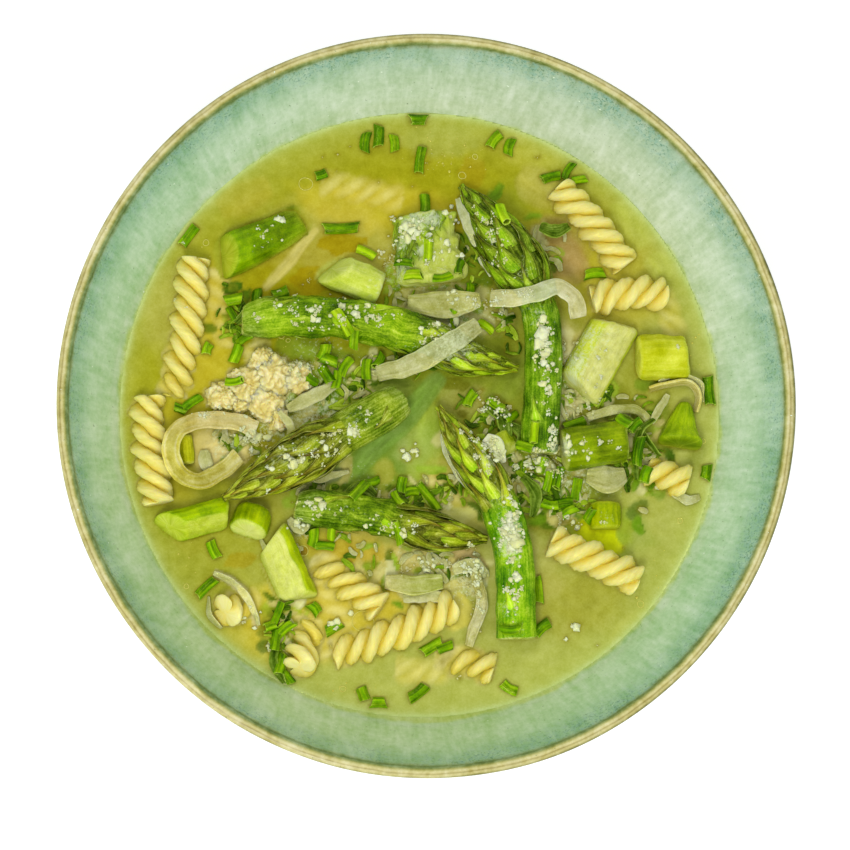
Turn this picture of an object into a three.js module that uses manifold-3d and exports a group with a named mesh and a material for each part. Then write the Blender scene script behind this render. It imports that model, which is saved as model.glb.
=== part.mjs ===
// A glazed stoneware bowl of clear broth with twisted pasta, green asparagus, onion,
// chives and grated cheese. Millimetres, +Z up, origin under the middle of the foot.
// Lengths along a piece run from its first point to its last, and every height
// of the contents is measured from the level of the broth.
import * as THREE from "three";
import { mergeVertices } from "three/addons/utils/BufferGeometryUtils.js";
import Module from "manifold-3d";

const wasm = await Module();
wasm.setup();

// Driving dimensions of the bowl
const rimRadius = 110;
const bowlHeight = 62;
const lipWidth = 3.4;
const wallThickness = 4.2;
const floorHeight = 8;
const footRadius = 54;
const footWidth = 5;
const footHeight = 4.5;
const outOfRound = 0.0097;
const longAxisTurn = THREE.MathUtils.degToRad(66.5);
const bowlSides = 54;
const lipFall = 1.2;
const insideProfile = [
  [34, floorHeight],
  [58, 12.5],
  [78, 23.5],
];
const outsideProfile = [
  [63, 6.5],
  [82.2, 17],
];

// Driving dimensions of the contents
const brothLevel = 38;
const brothRadius = 91.3;
const gap = 0.35;
const pastaRadius = 5.3;
const pastaPitch = 16.5;
const pastaCore = 2.1;
const onionThickness = 1.1;
const chiveRadius = 1.5;
const chiveLength = 5.6;
const trenchTop = 14;
const facetEase = 0.15;
const floorDip = 0.4;
const chiveRise = 0.4;

const glaze = { color: 0xb4cda2, roughness: 0.3 };
const brothGold = { color: 0xb3ab3c, roughness: 0.12 };
const pastaYellow = { color: 0xe0cf7a, roughness: 0.4 };
const spearGreen = { color: 0x6f9a2a, roughness: 0.4 };
const headOlive = { color: 0x7d8a3c, roughness: 0.45 };
const cutLime = { color: 0xb5cf4a, roughness: 0.35 };
const onionWhite = { color: 0xd8d3a8, roughness: 0.3 };
const cheeseCream = { color: 0xe6dba4, roughness: 0.6 };
const tubeGreen = { color: 0xa9b41c, roughness: 0.4 };

const upward = new THREE.Vector3(0, 0, 1);

// A closed surface as a solid that can be joined and cut.
function solidOf(geometry) {
  const bare = geometry.clone();
  bare.deleteAttribute("normal");
  bare.deleteAttribute("uv");
  const merged = mergeVertices(bare, 1e-4);
  const triVerts = new Uint32Array(merged.index.array);
  const vertProperties = merged.attributes.position.array;
  return new wasm.Manifold(new wasm.Mesh({ numProp: 3, vertProperties, triVerts }));
}

function geometryOf(body) {
  const made = body.getMesh();
  const geometry = new THREE.BufferGeometry();
  geometry.setAttribute("position", new THREE.BufferAttribute(made.vertProperties, 3));
  geometry.setIndex(new THREE.BufferAttribute(made.triVerts, 1));
  geometry.computeVertexNormals();
  return geometry;
}

function largest(body) {
  return body.decompose().sort((a, b) => b.volume() - a.volume())[0];
}

function meshOf(name, geometry, look) {
  const material = new THREE.MeshStandardMaterial({ ...look, metalness: 0 });
  const mesh = new THREE.Mesh(geometry, material);
  mesh.name = name;
  return mesh;
}

// The bowl is thrown round and has sagged a little along one diameter.
function sagged(geometry) {
  geometry.rotateZ(-longAxisTurn);
  geometry.scale(1 + outOfRound, 1 - outOfRound, 1);
  geometry.rotateZ(longAxisTurn);
  return geometry;
}

function turned(profile) {
  const geometry = new THREE.LatheGeometry(profile, bowlSides);
  geometry.rotateX(Math.PI / 2);
  return sagged(geometry);
}

// The inside of the bowl, from the middle of its floor to the lip.
function insideCurve() {
  const lipInside = rimRadius - lipWidth;
  return new THREE.SplineCurve([
    ...insideProfile.map((point) => new THREE.Vector2(...point)),
    new THREE.Vector2(brothRadius, brothLevel),
    new THREE.Vector2(lipInside - 5.5, bowlHeight - 9.5),
    new THREE.Vector2(lipInside, bowlHeight - lipFall),
  ]);
}

function bowl() {
  const inside = insideCurve().getPoints(8);
  const outside = new THREE.SplineCurve([
    new THREE.Vector2(rimRadius, bowlHeight - lipFall),
    new THREE.Vector2(rimRadius - lipWidth - 1.2, bowlHeight - 14),
    new THREE.Vector2(brothRadius + wallThickness, brothLevel - 4.5),
    ...outsideProfile.map((point) => new THREE.Vector2(...point)).reverse(),
    new THREE.Vector2(footRadius + 1, footHeight - 1),
  ]).getPoints(6);
  const profile = [
    new THREE.Vector2(0, floorHeight - wallThickness),
    new THREE.Vector2(footRadius - footWidth - 2.5, floorHeight - wallThickness),
    new THREE.Vector2(footRadius - footWidth, 0),
    new THREE.Vector2(footRadius, 0),
    ...outside.reverse(),
    new THREE.Vector2(rimRadius - lipWidth / 2, bowlHeight),
    ...inside.reverse(),
    new THREE.Vector2(0, floorHeight - floorDip),
  ];
  return meshOf("bowl", turned(profile), glaze);
}

// The broth fills the bowl to its level and stops just short of the glaze.
function brothBody() {
  const wall = insideCurve().getPoints(8).filter((point) => point.y < brothLevel - 1);
  const profile = [
    new THREE.Vector2(0, floorHeight - floorDip + gap),
    ...wall.map((point) => new THREE.Vector2(point.x - gap, point.y + gap)),
    new THREE.Vector2(brothRadius - gap, brothLevel),
    new THREE.Vector2(0, brothLevel),
  ];
  const geometry = turned(profile);
  geometry.translate(0, 0, -brothLevel);
  return solidOf(geometry);
}

function pathThrough(points) {
  return new THREE.CatmullRomCurve3(points.map((point) => new THREE.Vector3(...point)));
}

// Lays a straight body, of length 1 along Z, on a path. Its X lies across the path to the
// left, its Y points up from it, and section gives the place in the path's own frame.
function laidAlong(geometry, path, section) {
  const position = geometry.attributes.position;
  const across = new THREE.Vector3();
  const rise = new THREE.Vector3();
  for (let i = 0; i < position.count; i += 1) {
    const t = THREE.MathUtils.clamp(position.getZ(i), 0, 1);
    const tangent = path.getTangentAt(t);
    across.crossVectors(upward, tangent).normalize();
    rise.crossVectors(tangent, across);
    const [x, y, ahead] = section(t, position.getX(i), position.getY(i));
    const place = path.getPointAt(t).addScaledVector(across, x);
    place.addScaledVector(rise, y).addScaledVector(tangent, ahead);
    position.setXYZ(i, place.x, place.y, place.z);
  }
  return geometry;
}

function unitRod(sides, steps) {
  const rod = new THREE.CylinderGeometry(1, 1, 1, sides, steps);
  return rod.rotateX(Math.PI / 2).translate(0, 0, 0.5);
}

// The room that a long piece takes up in the broth: round below its middle, straight walls above.
function trench(points, radiusAt, sides = 5) {
  const path = pathThrough(points);
  const outline = new THREE.Shape();
  outline.moveTo(1, 1);
  outline.lineTo(-1, 1);
  for (let i = 0; i <= sides; i += 1) {
    const turn = Math.PI + (Math.PI * i) / sides;
    outline.lineTo(Math.cos(turn), Math.sin(turn));
  }
  const steps = Math.max(3, Math.round(path.getLength() / 7));
  const body = new THREE.ExtrudeGeometry(outline, { depth: 1, steps, bevelEnabled: false });
  const roundGain = 1 / Math.cos(Math.PI / sides / 2);
  return laidAlong(body, path, (t, x, y) => {
    const reach = (radiusAt(t) + gap) * roundGain;
    const ahead = (t - 0.5) * 2 * gap;
    return [x * reach, y > 0 ? trenchTop : y * reach, ahead];
  });
}

// Twisted pasta: three fat blades wound left-handed round a thin core, cut square at both ends.
const bladeHalf = THREE.MathUtils.degToRad(37);

function pastaOutline() {
  const outline = new THREE.Shape();
  for (let blade = 0; blade < 3; blade += 1) {
    const middle = (blade * 2 * Math.PI) / 3;
    const notch = middle + Math.PI / 3;
    for (const turn of [middle - bladeHalf, middle + bladeHalf]) {
      const x = pastaRadius * Math.cos(turn);
      const y = pastaRadius * Math.sin(turn);
      if (blade === 0 && turn < middle) outline.moveTo(x, y);
      else outline.lineTo(x, y);
    }
    outline.lineTo(pastaCore * Math.cos(notch), pastaCore * Math.sin(notch));
  }
  return outline;
}

function pasta({ points, turn = 0 }) {
  const path = pathThrough(points);
  const length = path.getLength();
  const steps = Math.round(length / (pastaPitch / 8));
  const body = new THREE.ExtrudeGeometry(pastaOutline(), { depth: 1, steps, bevelEnabled: false });
  return laidAlong(body, path, (t, x, y) => {
    const wound = turn - (t * length * 2 * Math.PI) / pastaPitch;
    const cos = Math.cos(wound);
    const sin = Math.sin(wound);
    return [x * cos - y * sin, x * sin + y * cos, 0];
  });
}

// A spear of asparagus, from its cut end to its tip: an even stalk, then a head that swells a
// little and closes to a point.
function spearRadius({ stalk, head, neck }) {
  const widest = 0.3;
  return (t) => {
    const u = Math.max(0, (t - neck) / (1 - neck));
    const swell = stalk + (head - stalk) * THREE.MathUtils.smoothstep(u, 0, widest);
    const close = Math.max(0, (u - widest) / (1 - widest));
    return Math.max(0.9, swell * (1 - close ** 1.7) ** 0.85);
  };
}

function spear(piece) {
  const radiusAt = spearRadius(piece);
  const path = pathThrough(piece.points);
  const rod = unitRod(10, 13);
  const place = rod.attributes.position;
  for (let i = 0; i < place.count; i += 1) place.setZ(i, 1 - (1 - place.getZ(i)) ** 1.25);
  const squash = piece.squash ?? 1;
  return laidAlong(rod, path, (t, x, y) => {
    const reach = radiusAt(t);
    return [x * reach, y * reach * squash, 0];
  });
}

// A short cut of stalk. Its ends are sliced at a slant: start and end give how far the slice
// runs ahead for each millimetre to the left and each millimetre up. flat halves it lengthwise.
function cut({ points, radius, start = [0, 0], end = [0, 0], squash = 1, taper = 1, flat }, grow = 0) {
  const path = pathThrough(points);
  const body = unitRod(10, 2);
  return laidAlong(body, path, (t, x, y) => {
    const reach = radius * THREE.MathUtils.lerp(1, taper, t) + grow;
    let across = x * reach;
    let rise = y * reach * squash;
    if (flat) {
      const over = Math.max(0, across * flat[0] + rise * flat[1] - flat[2] - grow);
      across -= over * flat[0];
      rise -= over * flat[1];
    }
    const share = Math.abs(t - 0.5) * 2;
    const [left, up] = t < 0.5 ? start : end;
    const ahead = (left * across + up * rise) * share + (t - 0.5) * 2 * grow;
    return [across, rise, ahead];
  });
}

// A strip or petal of boiled onion, thin all over, wavy across, with width worked out along it.
function onion({ points, width, roll = 0, waves = 0, wave = 0, shape = () => 1, steps = 10 }, grow = 0) {
  const path = pathThrough(points);
  const strip = new THREE.BoxGeometry(1, 1, 1, wave ? 3 : 1, 1, steps).translate(0, 0, 0.5);
  return laidAlong(strip, path, (t, x, y) => {
    const across = x * (width * shape(t) + 2 * grow);
    const ripple = wave * Math.sin(waves * 2 * Math.PI * t + 2.2 * x);
    const rise = y * (onionThickness + 2 * grow) + ripple;
    const cos = Math.cos(roll);
    const sin = Math.sin(roll);
    return [across * cos - rise * sin, across * sin + rise * cos, (t - 0.5) * 2 * grow];
  });
}

function petalShape(t) {
  return 0.35 + 0.65 * Math.sin(Math.PI * THREE.MathUtils.clamp(0.08 + 0.84 * t, 0, 1));
}

function ribbonShape(t) {
  return 0.75 + 0.25 * Math.sin(Math.PI * t);
}

// One short length of chive lying at a height above the broth.
function chive([x, y, turn, length = chiveLength], height) {
  const rod = new THREE.CylinderGeometry(chiveRadius, chiveRadius, length, 6);
  rod.rotateZ(Math.PI / 2).rotateZ(THREE.MathUtils.degToRad(turn));
  return solidOf(rod.translate(x, y, height));
}

// How high a piece's upper surface stands over one point.
function topOf(geometry, x, y) {
  const probe = new THREE.Mesh(geometry, new THREE.MeshStandardMaterial());
  const ray = new THREE.Raycaster(new THREE.Vector3(x, y, 60), new THREE.Vector3(0, 0, -1));
  const hits = ray.intersectObject(probe);
  if (!hits.length) throw new Error(`nothing under ${x}, ${y}`);
  return hits[0].point.z;
}

function withChives(geometry, chives) {
  if (!chives) return geometry;
  let body = solidOf(geometry);
  for (const spot of chives) {
    const height = topOf(geometry, spot[0], spot[1]) + chiveRadius * 0.35;
    body = body.add(chive(spot, height));
  }
  return geometryOf(body);
}

const pastaPieces = [
  { points: [[-69.8, 45, 1.2], [-71.3, 24, 0.2], [-75, 3, -3.6]] },
  { points: [[-83, 2.6, -0.4], [-82, -14, 0.8], [-79, -29.8, 1.4]], turn: 0.6 },
  { points: [[41.4, 69.8, 0.6], [52.3, 58.3, 1.2], [62.3, 45.6, 0.8]], turn: 1.1 },
  { points: [[51.8, 34.6, 0], [62, 37.2, 1.4], [74.8, 37.4, 0.6]], turn: 0.3 },
  { points: [[-32.5, -46.5, -5], [-22, -53.3, -1.4], [-12.6, -59.8, 0.9]], turn: 1.6 },
  { points: [[-26.6, -74.2, -2.6], [-9, -67.8, 0.2], [9.5, -58.8, -0.6]], turn: 0.2 },
  { points: [[38.4, -39.4, 1.6], [51, -44.6, 2.4], [65, -51, 1.2]], turn: 0.9 },
  { points: [[4.5, -75.2, -5.2], [13.5, -76, -3], [21.6, -78.2, -1.5]], turn: 0.5 },
  { points: [[-51.5, -57.2, -7.5], [-56, -60, -2.6], [-59.2, -62.1, 2.4]], turn: 1.4 },
  { points: [[-34.2, -64, -5.4], [-35.6, -71.8, -1.2], [-37.2, -78.2, 3.2]], turn: 0.7 },
  { points: [[69, -17.3, -1.8], [75, -19.2, 0], [81, -21.2, 0.6]], turn: 0.7 },
];

const spears = [
  {
    points: [[34.6, -13, 3.2], [36, 10, 4.4], [35, 31, 4.6], [24.3, 51, 4.2], [11.4, 69.5, 1.6]],
    stalk: 5.7,
    head: 9,
    neck: 0.5,
    squash: 0.86,
    look: spearGreen,
    chives: [[23.4, 59.4, -75, 7], [32.6, -7.4, 85, 6.4]],
  },
  {
    points: [[-55, 25.8, 3.4], [-35, 27.4, 4], [-15, 25.4, 3.6], [0, 21.4, 3.4], [12, 16, 3.2], [28.6, 12.8, 2.8]],
    stalk: 6.2,
    head: 6.2,
    neck: 0.68,
    look: spearGreen,
    chives: [[-25.4, 24.6, -55, 8.6], [-21.6, 20.6, 88, 7]],
  },
  {
    points: [[-6.4, 2.8, 3.6], [-20, -5.4, 4.4], [-37, -15.6, 5.4], [-60.2, -28.6, 7.6]],
    stalk: 6.4,
    head: 8,
    neck: 0.32,
    look: headOlive,
  },
  {
    points: [[-38.4, -29.6, 2], [-15, -32.4, 2.8], [4, -37.4, 3], [19, -39.2, 2.4]],
    stalk: 5.6,
    head: 6.3,
    neck: 0.5,
    look: headOlive,
    chives: [[-8.6, -38, -70, 8]],
  },
  {
    points: [[27.4, -69.2, 4.2], [26.4, -42, 4.6], [20.2, -24.5, 4.8], [11.4, -11, 4], [4.2, 0.8, 2.6]],
    stalk: 5.9,
    head: 6.3,
    neck: 0.52,
    look: spearGreen,
    chives: [[25, -66.6, 0, 6.2]],
  },
];

const cuts = [
  {
    points: [[3, 38.6, 1.6], [1.4, 49, 2], [0, 60.4, 1]],
    radius: 10.6,
    taper: 0.86,
    squash: 0.6,
    end: [0, -0.25],
    look: headOlive,
    chives: [[0.4, 47.4, 88, 6.4], [-6.6, 43.8, -8, 6.2], [-3.8, 40, -3, 5.4], [4.8, 39.6, 12]],
  },
  {
    points: [[-60.6, 45.4, 1.2], [-48, 51.6, -0.8], [-35.5, 58.6, -4.2]],
    radius: 6.6,
    start: [0.35, 0.5],
    end: [0, -0.8],
    taper: 0.8,
    look: spearGreen,
  },
  { points: [[-28, 42.2, 1.8], [-13, 36.6, 1.4]], radius: 5.5, start: [0.5, 0.7], look: cutLime },
  { points: [[65.2, 17.2, 1.6], [81.4, 17.6, 1.2]], radius: 6.9, end: [-0.1, -0.2], look: tubeGreen },
  {
    points: [[59, 27.6, 2], [47.4, 6.8, 1.2]],
    radius: 7.4,
    squash: 0.72,
    start: [-0.3, 0.2],
    end: [0.2, -0.4],
    flat: [0.35, 0.94, 3.4],
    look: cutLime,
  },
  { points: [[41.8, -11.8, 3], [61.6, -8.6, 2.4]], radius: 6.5, end: [0.1, 0], look: spearGreen },
  {
    points: [[78.2, -9.8, 1.2], [80, 3.6, 1.4]],
    radius: 7.4,
    taper: 0.22,
    squash: 0.8,
    start: [0, 0.4],
    look: spearGreen,
  },
  {
    points: [[-61, -33, 0.8], [-75.4, -36.8, 2.6]],
    radius: 5,
    end: [-0.7, -0.8],
    start: [0.3, 0],
    look: cutLime,
  },
  { points: [[-50.6, -31.2, -0.6], [-52.6, -38, 2.6]], radius: 5.7, look: cutLime },
  {
    points: [[-45.6, -39.6, 1], [-37.6, -57.6, 0.6]],
    radius: 6.2,
    start: [-0.3, 0],
    end: [0.2, -0.3],
    flat: [-0.6, 0.8, 2.4],
    look: cutLime,
  },
  { points: [[55.2, -27.2, 0.8], [55.4, -35.4, 0.6]], radius: 4.7, look: tubeGreen },
  { points: [[22.6, -7.4, -0.4], [26, -12.4, 1.2]], radius: 3.7, end: [0, -0.4], look: tubeGreen },
  { points: [[-71.8, -8.8, 0.6], [-70.8, -17.6, 0.4]], radius: 2.4, look: tubeGreen },
];

const onions = [
  {
    name: "onion_ring",
    points: [
      [-50.4, -7.2, 2.8],
      [-57, -4.8, 2.6],
      [-66, -4.6, 3],
      [-73.4, -7.4, 4.6],
      [-76, -13.4, 6.4],
      [-74, -19.6, 5.4],
      [-68, -23, 3],
      [-60.6, -19.6, 1.8],
      [-55.4, -15, 1.8],
    ],
    width: 5.2,
    steps: 17,
  },
  {
    name: "onion_strip_over_spear",
    points: [[-14, 10.8, 1], [-6.4, 12.2, 5], [0.4, 14.8, 10], [7.6, 19.2, 10.8], [16, 25.6, 5.8]],
    width: 6.6,
    shape: ribbonShape,
    wave: 0.3,
    waves: 1,
  },
  {
    name: "onion_arch",
    points: [
      [19.8, 33.4, 6.2],
      [26.2, 33.1, 10.8],
      [33.1, 34.5, 11.8],
      [40, 36.9, 9.8],
      [45.2, 34, 7.4],
      [46.8, 28.6, 4.8],
    ],
    width: 5.2,
    steps: 14,
  },
  {
    name: "onion_sheet",
    points: [[-5, 32.6, 2], [6, 32, 3], [17, 33.6, 3.4]],
    width: 8.4,
    shape: petalShape,
    wave: 0.5,
    waves: 1.3,
  },
  {
    name: "onion_striped",
    points: [[-11.6, -52.2, 1.2], [-3, -53.2, 2.4], [5.6, -52, 1.8]],
    width: 5.8,
    shape: ribbonShape,
    wave: 0.3,
    waves: 1,
  },
  {
    name: "onion_petal",
    points: [[49.6, -19.4, 1.4], [56, -20.4, 2.2], [61.6, -18.6, 1.2]],
    width: 8.2,
    shape: petalShape,
    wave: 0.4,
    waves: 0.8,
  },
  {
    name: "onion_shred",
    points: [[14.2, -45.6, 1.2], [16.2, -52, 2.6], [17.4, -59, 2], [15, -66, 1.6], [13.6, -71, 0.8]],
    width: 3.6,
    shape: ribbonShape,
  },
  {
    name: "onion_curl",
    points: [[69.4, 7.6, 0.4], [75.6, 9.2, 2], [81.6, 9.4, 2.6], [84.4, 5.6, 2], [83.6, 1, 1]],
    width: 3,
    roll: 1.2,
  },
  {
    name: "onion_thread",
    points: [[50, -1.6, 1.2], [58, 0.8, 2.6], [65.6, 0.8, 1.8], [69.6, -3, 0.8]],
    width: 2.8,
  },
];

// Chives that float on the broth: place, turn in degrees and length.
const floatingChives = [
  [-17.6, 82.4, 84, 5.6],
  [-13.8, 84.6, 88, 6.6],
  [-9, 82.4, 96, 5],
  [-1.6, 90, 0, 5.4],
  [-0.8, 77.4, 82, 8.4],
  [-31.4, 72, 20, 3.6],
  [22.2, 84.2, 52, 5.6],
  [26.8, 82.2, 76, 5],
  [0.4, 63.6, 92, 5.6],
  [-25.2, 55.6, 4, 11],
  [-71.2, 52, 55, 7.4],
  [52.8, 43, 8, 6.4],
  [-65, 17.4, 70, 3.6],
  [-56.6, 16, 70, 5.2],
  [88, 7.6, 95, 9],
  [86.6, -17.6, 80, 4.6],
  [-62.6, -43, -65, 5.6],
  [-64.6, -54.4, 44, 7.6],
  [-32.6, -60.4, -50, 4.2],
  [-27, -65.8, 32, 5.2],
  [2.6, -71.4, 30, 7],
  [-1.8, -84.8, 38, 6.2],
  [-13.4, -88, 0, 4.6],
  [-18, -85.4, -70, 4],
  [26, -83.2, -30, 5.2],
  [-33.2, -39.2, 84, 5.2],
  [34.6, -54, 96, 8],
  [42.4, -28, 10, 7],
  [46.6, -23.4, 80, 7],
];

// Grated cheese that has caked on the pasta below it: lumps, each with a place, a radius and
// a height, and the larger crumbs on top of them.
const cheeseLumps = [
  [-60.6, 3, 4.6, 4.8],
  [-53.2, 6.4, 6.4, 5],
  [-45.2, 9.6, 7, 5.6],
  [-38.6, 9, 5.2, 5],
  [-47.4, 1.4, 6, 4.6],
  [-43.6, -3.6, 3.6, 3.4],
];
const cheeseCrumbs = 10;
const goldenTurn = 2.39996;

function cheeseCore(grow = 0) {
  return cheeseLumps
    .map(([x, y, radius, height]) => {
      const lump = new THREE.SphereGeometry(1, 8, 4).rotateX(Math.PI / 2);
      lump.scale(radius + grow, radius + grow, height + grow);
      return solidOf(lump.translate(x, y, 0));
    })
    .reduce((cake, lump) => cake.add(lump));
}

function cheeseCake() {
  let cake = cheeseCore();
  for (let i = 0; i < cheeseCrumbs; i += 1) {
    const [x, y, radius, height] = cheeseLumps[i % cheeseLumps.length];
    const turn = i * goldenTurn;
    const out = 0.5 * radius;
    const crumb = new THREE.IcosahedronGeometry(1.3 + 0.3 * Math.sin(i), 0);
    crumb.scale(1.7, 1, 1).rotateZ(turn * 1.7);
    crumb.translate(x + out * Math.cos(turn), y + out * Math.sin(turn), 0.82 * height);
    cake = cake.add(solidOf(crumb));
  }
  return cake;
}

// The contents stand in a group of their own at the level of the broth.
function contents() {
  const group = new THREE.Group();
  group.position.z = brothLevel;
  let broth = brothBody();
  const number = (i) => String(i + 1).padStart(2, "0");
  pastaPieces.forEach((piece, i) => {
    group.add(meshOf(`pasta_${number(i)}`, pasta(piece), pastaYellow));
    broth = broth.subtract(solidOf(trench(piece.points, () => pastaRadius + facetEase)));
  });
  spears.forEach((piece, i) => {
    const geometry = withChives(spear(piece), piece.chives);
    group.add(meshOf(`asparagus_spear_${number(i)}`, geometry, piece.look));
    broth = broth.subtract(solidOf(trench(piece.points, spearRadius(piece))));
  });
  cuts.forEach((piece, i) => {
    const geometry = withChives(cut(piece), piece.chives);
    group.add(meshOf(`asparagus_cut_${number(i)}`, geometry, piece.look));
    broth = broth.subtract(solidOf(cut(piece, gap)));
  });
  onions.forEach((piece) => {
    group.add(meshOf(piece.name, onion(piece), onionWhite));
    broth = broth.subtract(solidOf(onion(piece, gap)));
  });
  group.add(meshOf("cheese_cake", geometryOf(cheeseCake()), cheeseCream));
  broth = broth.subtract(cheeseCore(gap));
  for (const spot of floatingChives) broth = broth.add(chive(spot, chiveRise));
  group.add(meshOf("broth", geometryOf(largest(broth)), brothGold));
  return group;
}

const soup = new THREE.Group();
soup.add(bowl(), contents());

export default soup;
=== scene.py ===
import math

import bpy
import numpy as np
from mathutils import Matrix, Vector, noise
from mathutils.bvhtree import BVHTree


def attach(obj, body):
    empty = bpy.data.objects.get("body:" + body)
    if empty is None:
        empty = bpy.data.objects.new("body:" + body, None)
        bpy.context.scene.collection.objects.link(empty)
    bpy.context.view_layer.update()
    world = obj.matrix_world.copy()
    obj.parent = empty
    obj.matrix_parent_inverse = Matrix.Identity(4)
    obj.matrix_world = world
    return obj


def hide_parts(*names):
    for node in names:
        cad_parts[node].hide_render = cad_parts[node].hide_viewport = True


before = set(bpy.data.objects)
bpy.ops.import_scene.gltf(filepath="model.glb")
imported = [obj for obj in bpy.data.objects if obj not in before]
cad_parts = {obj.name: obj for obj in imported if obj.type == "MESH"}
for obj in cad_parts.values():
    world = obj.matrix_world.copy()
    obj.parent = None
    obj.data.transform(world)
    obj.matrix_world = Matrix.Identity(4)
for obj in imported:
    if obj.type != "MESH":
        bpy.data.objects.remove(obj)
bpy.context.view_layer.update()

# The camera stands almost straight above the bowl, a little towards the lower left of the
# picture, at about arm's length. The picture is square.
camera_tilt = math.radians(10.72)
camera_bearing = math.radians(232.4)
camera_distance = 0.8
camera_aim = Vector((-0.00222, -0.00807, 0.062))
picture_width = 0.24887

to_camera = Vector(
    (
        math.cos(camera_bearing) * math.sin(camera_tilt),
        math.sin(camera_bearing) * math.sin(camera_tilt),
        math.cos(camera_tilt),
    )
)
picture_right = Vector((0, 1, 0)).cross(to_camera).normalized()
picture_up = to_camera.cross(picture_right)
camera = bpy.data.objects.new("camera", bpy.data.cameras.new("camera"))
camera.data.sensor_width = 36
camera.data.lens = camera.data.sensor_width * camera_distance / picture_width
camera.data.dof.use_dof = False
camera.matrix_world = Matrix((picture_right, picture_up, to_camera)).transposed().to_4x4()
camera.location = camera_aim + camera_distance * to_camera
bpy.context.scene.collection.objects.link(camera)
bpy.context.scene.camera = camera

# The bowl stands on a plain white table under soft daylight from all round. A large window
# to the lower left of the picture shades it, and a small bright lamp gives the wet glints.
table_size = 12.0
table_white = 0.86
table_glow = 0.4
sky_strength = 0.72
window_watts = 7.5
window_size = 0.42
window_place = Vector((-0.28, -0.74, 1.05))
lamp_watts = 1.6
lamp_size = 0.16
lamp_place = Vector((-0.35, 0.42, 1.2))
lamp_aim = Vector((0, 0, 0.04))

bpy.context.scene.view_settings.view_transform = "Standard"
bpy.context.scene.view_settings.look = "None"


def srgb(red, green, blue):
    """A colour as seen, 0 to 255, as the light it gives back, 0 to 1."""
    seen = np.array([red, green, blue]) / 255
    return np.where(seen <= 0.04045, seen / 12.92, ((seen + 0.055) / 1.055) ** 2.4)


table_mesh = bpy.data.meshes.new("table")
half = table_size / 2
table_mesh.from_pydata(
    [(-half, -half, 0), (half, -half, 0), (half, half, 0), (-half, half, 0)],
    [],
    [(0, 1, 2, 3)],
)
table = bpy.data.objects.new("table", table_mesh)
bpy.context.scene.collection.objects.link(table)
table_paint = bpy.data.materials.new("table_white")
table_paint.use_nodes = True
table_shader = table_paint.node_tree.nodes["Principled BSDF"]
table_shader.inputs["Base Color"].default_value = (table_white, table_white, table_white, 1)
table_shader.inputs["Roughness"].default_value = 0.9
table_shader.inputs["Emission Color"].default_value = (1, 1, 1, 1)
table_shader.inputs["Emission Strength"].default_value = table_glow
table_mesh.materials.append(table_paint)

sky = bpy.data.worlds.new("sky")
sky.use_nodes = True
sky.node_tree.nodes["Background"].inputs["Color"].default_value = (1, 1, 1, 1)
sky.node_tree.nodes["Background"].inputs["Strength"].default_value = sky_strength
bpy.context.scene.world = sky


def hang_lamp(name, watts, size, place):
    """A square lamp that hangs at a place and shines on the food."""
    light = bpy.data.lights.new(name, "AREA")
    light.energy = watts
    light.size = size
    lamp = bpy.data.objects.new(name, light)
    lamp.location = place
    lamp.rotation_euler = (lamp_aim - place).to_track_quat("-Z", "Y").to_euler()
    bpy.context.scene.collection.objects.link(lamp)


hang_lamp("window", window_watts, window_size, window_place)
hang_lamp("glint_lamp", lamp_watts, lamp_size, lamp_place)

# The bowl is stoneware, thrown round, with a foot ring turned on its underside. It is dipped
# in a pale green glaze that breaks to bare tan clay on the lip, with a bluer, speckled band
# below it. The foot is left bare.
mm = 0.001
rim_radius = 110.0
bowl_height = 62.0
lip_width = 3.4
lip_fall = 1.2
wall_thickness = 4.2
floor_height = 8.0
foot_radius = 54.0
foot_width = 5.0
foot_height = 4.5
floor_dip = 0.4
broth_level = 38.0
broth_radius = 91.3
out_of_round = 0.0097
long_axis = math.radians(66.5)
bowl_turns = 440


def smooth_path(points, count, pull=0.5):
    """Evenly spaced points on a smooth curve through the given ones, and its length."""
    given = np.asarray(points, float)
    given = np.vstack([2 * given[0] - given[1], given, 2 * given[-1] - given[-2]])
    knots = np.concatenate([[0], np.cumsum(np.linalg.norm(np.diff(given, axis=0), axis=1) ** pull)])
    fine = [given[1:2]]
    for i in range(1, len(given) - 2):
        p0, p1, p2, p3 = given[i - 1 : i + 3]
        k0, k1, k2, k3 = knots[i - 1 : i + 3]
        k = np.linspace(k1, k2, 33)[1:, None]
        a1 = ((k1 - k) * p0 + (k - k0) * p1) / (k1 - k0)
        a2 = ((k2 - k) * p1 + (k - k1) * p2) / (k2 - k1)
        a3 = ((k3 - k) * p2 + (k - k2) * p3) / (k3 - k2)
        b1 = ((k2 - k) * a1 + (k - k0) * a2) / (k2 - k0)
        b2 = ((k3 - k) * a2 + (k - k1) * a3) / (k3 - k1)
        fine.append(((k2 - k) * b1 + (k - k1) * b2) / (k2 - k1))
    fine = np.vstack(fine)
    run = np.concatenate([[0], np.cumsum(np.linalg.norm(np.diff(fine, axis=0), axis=1))])
    even = np.linspace(0, run[-1], count)
    return np.stack([np.interp(even, run, fine[:, k]) for k in range(given.shape[1])], 1), run[-1]


def unevenness(points, size, seed=0.0):
    """Smooth chance between -1 and 1 at each point, changing over the given size."""
    shifted = np.asarray(points, float) / size + (seed * 7.13, seed * 3.71, seed * 11.9)
    return np.array([noise.noise(point) for point in shifted.tolist()])


def smooth_step(value, low, high):
    """A share that rises softly from 0 at the low value to 1 at the high one."""
    share = np.clip((value - low) / (high - low), 0, 1)
    return share * share * (3 - 2 * share)


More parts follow.
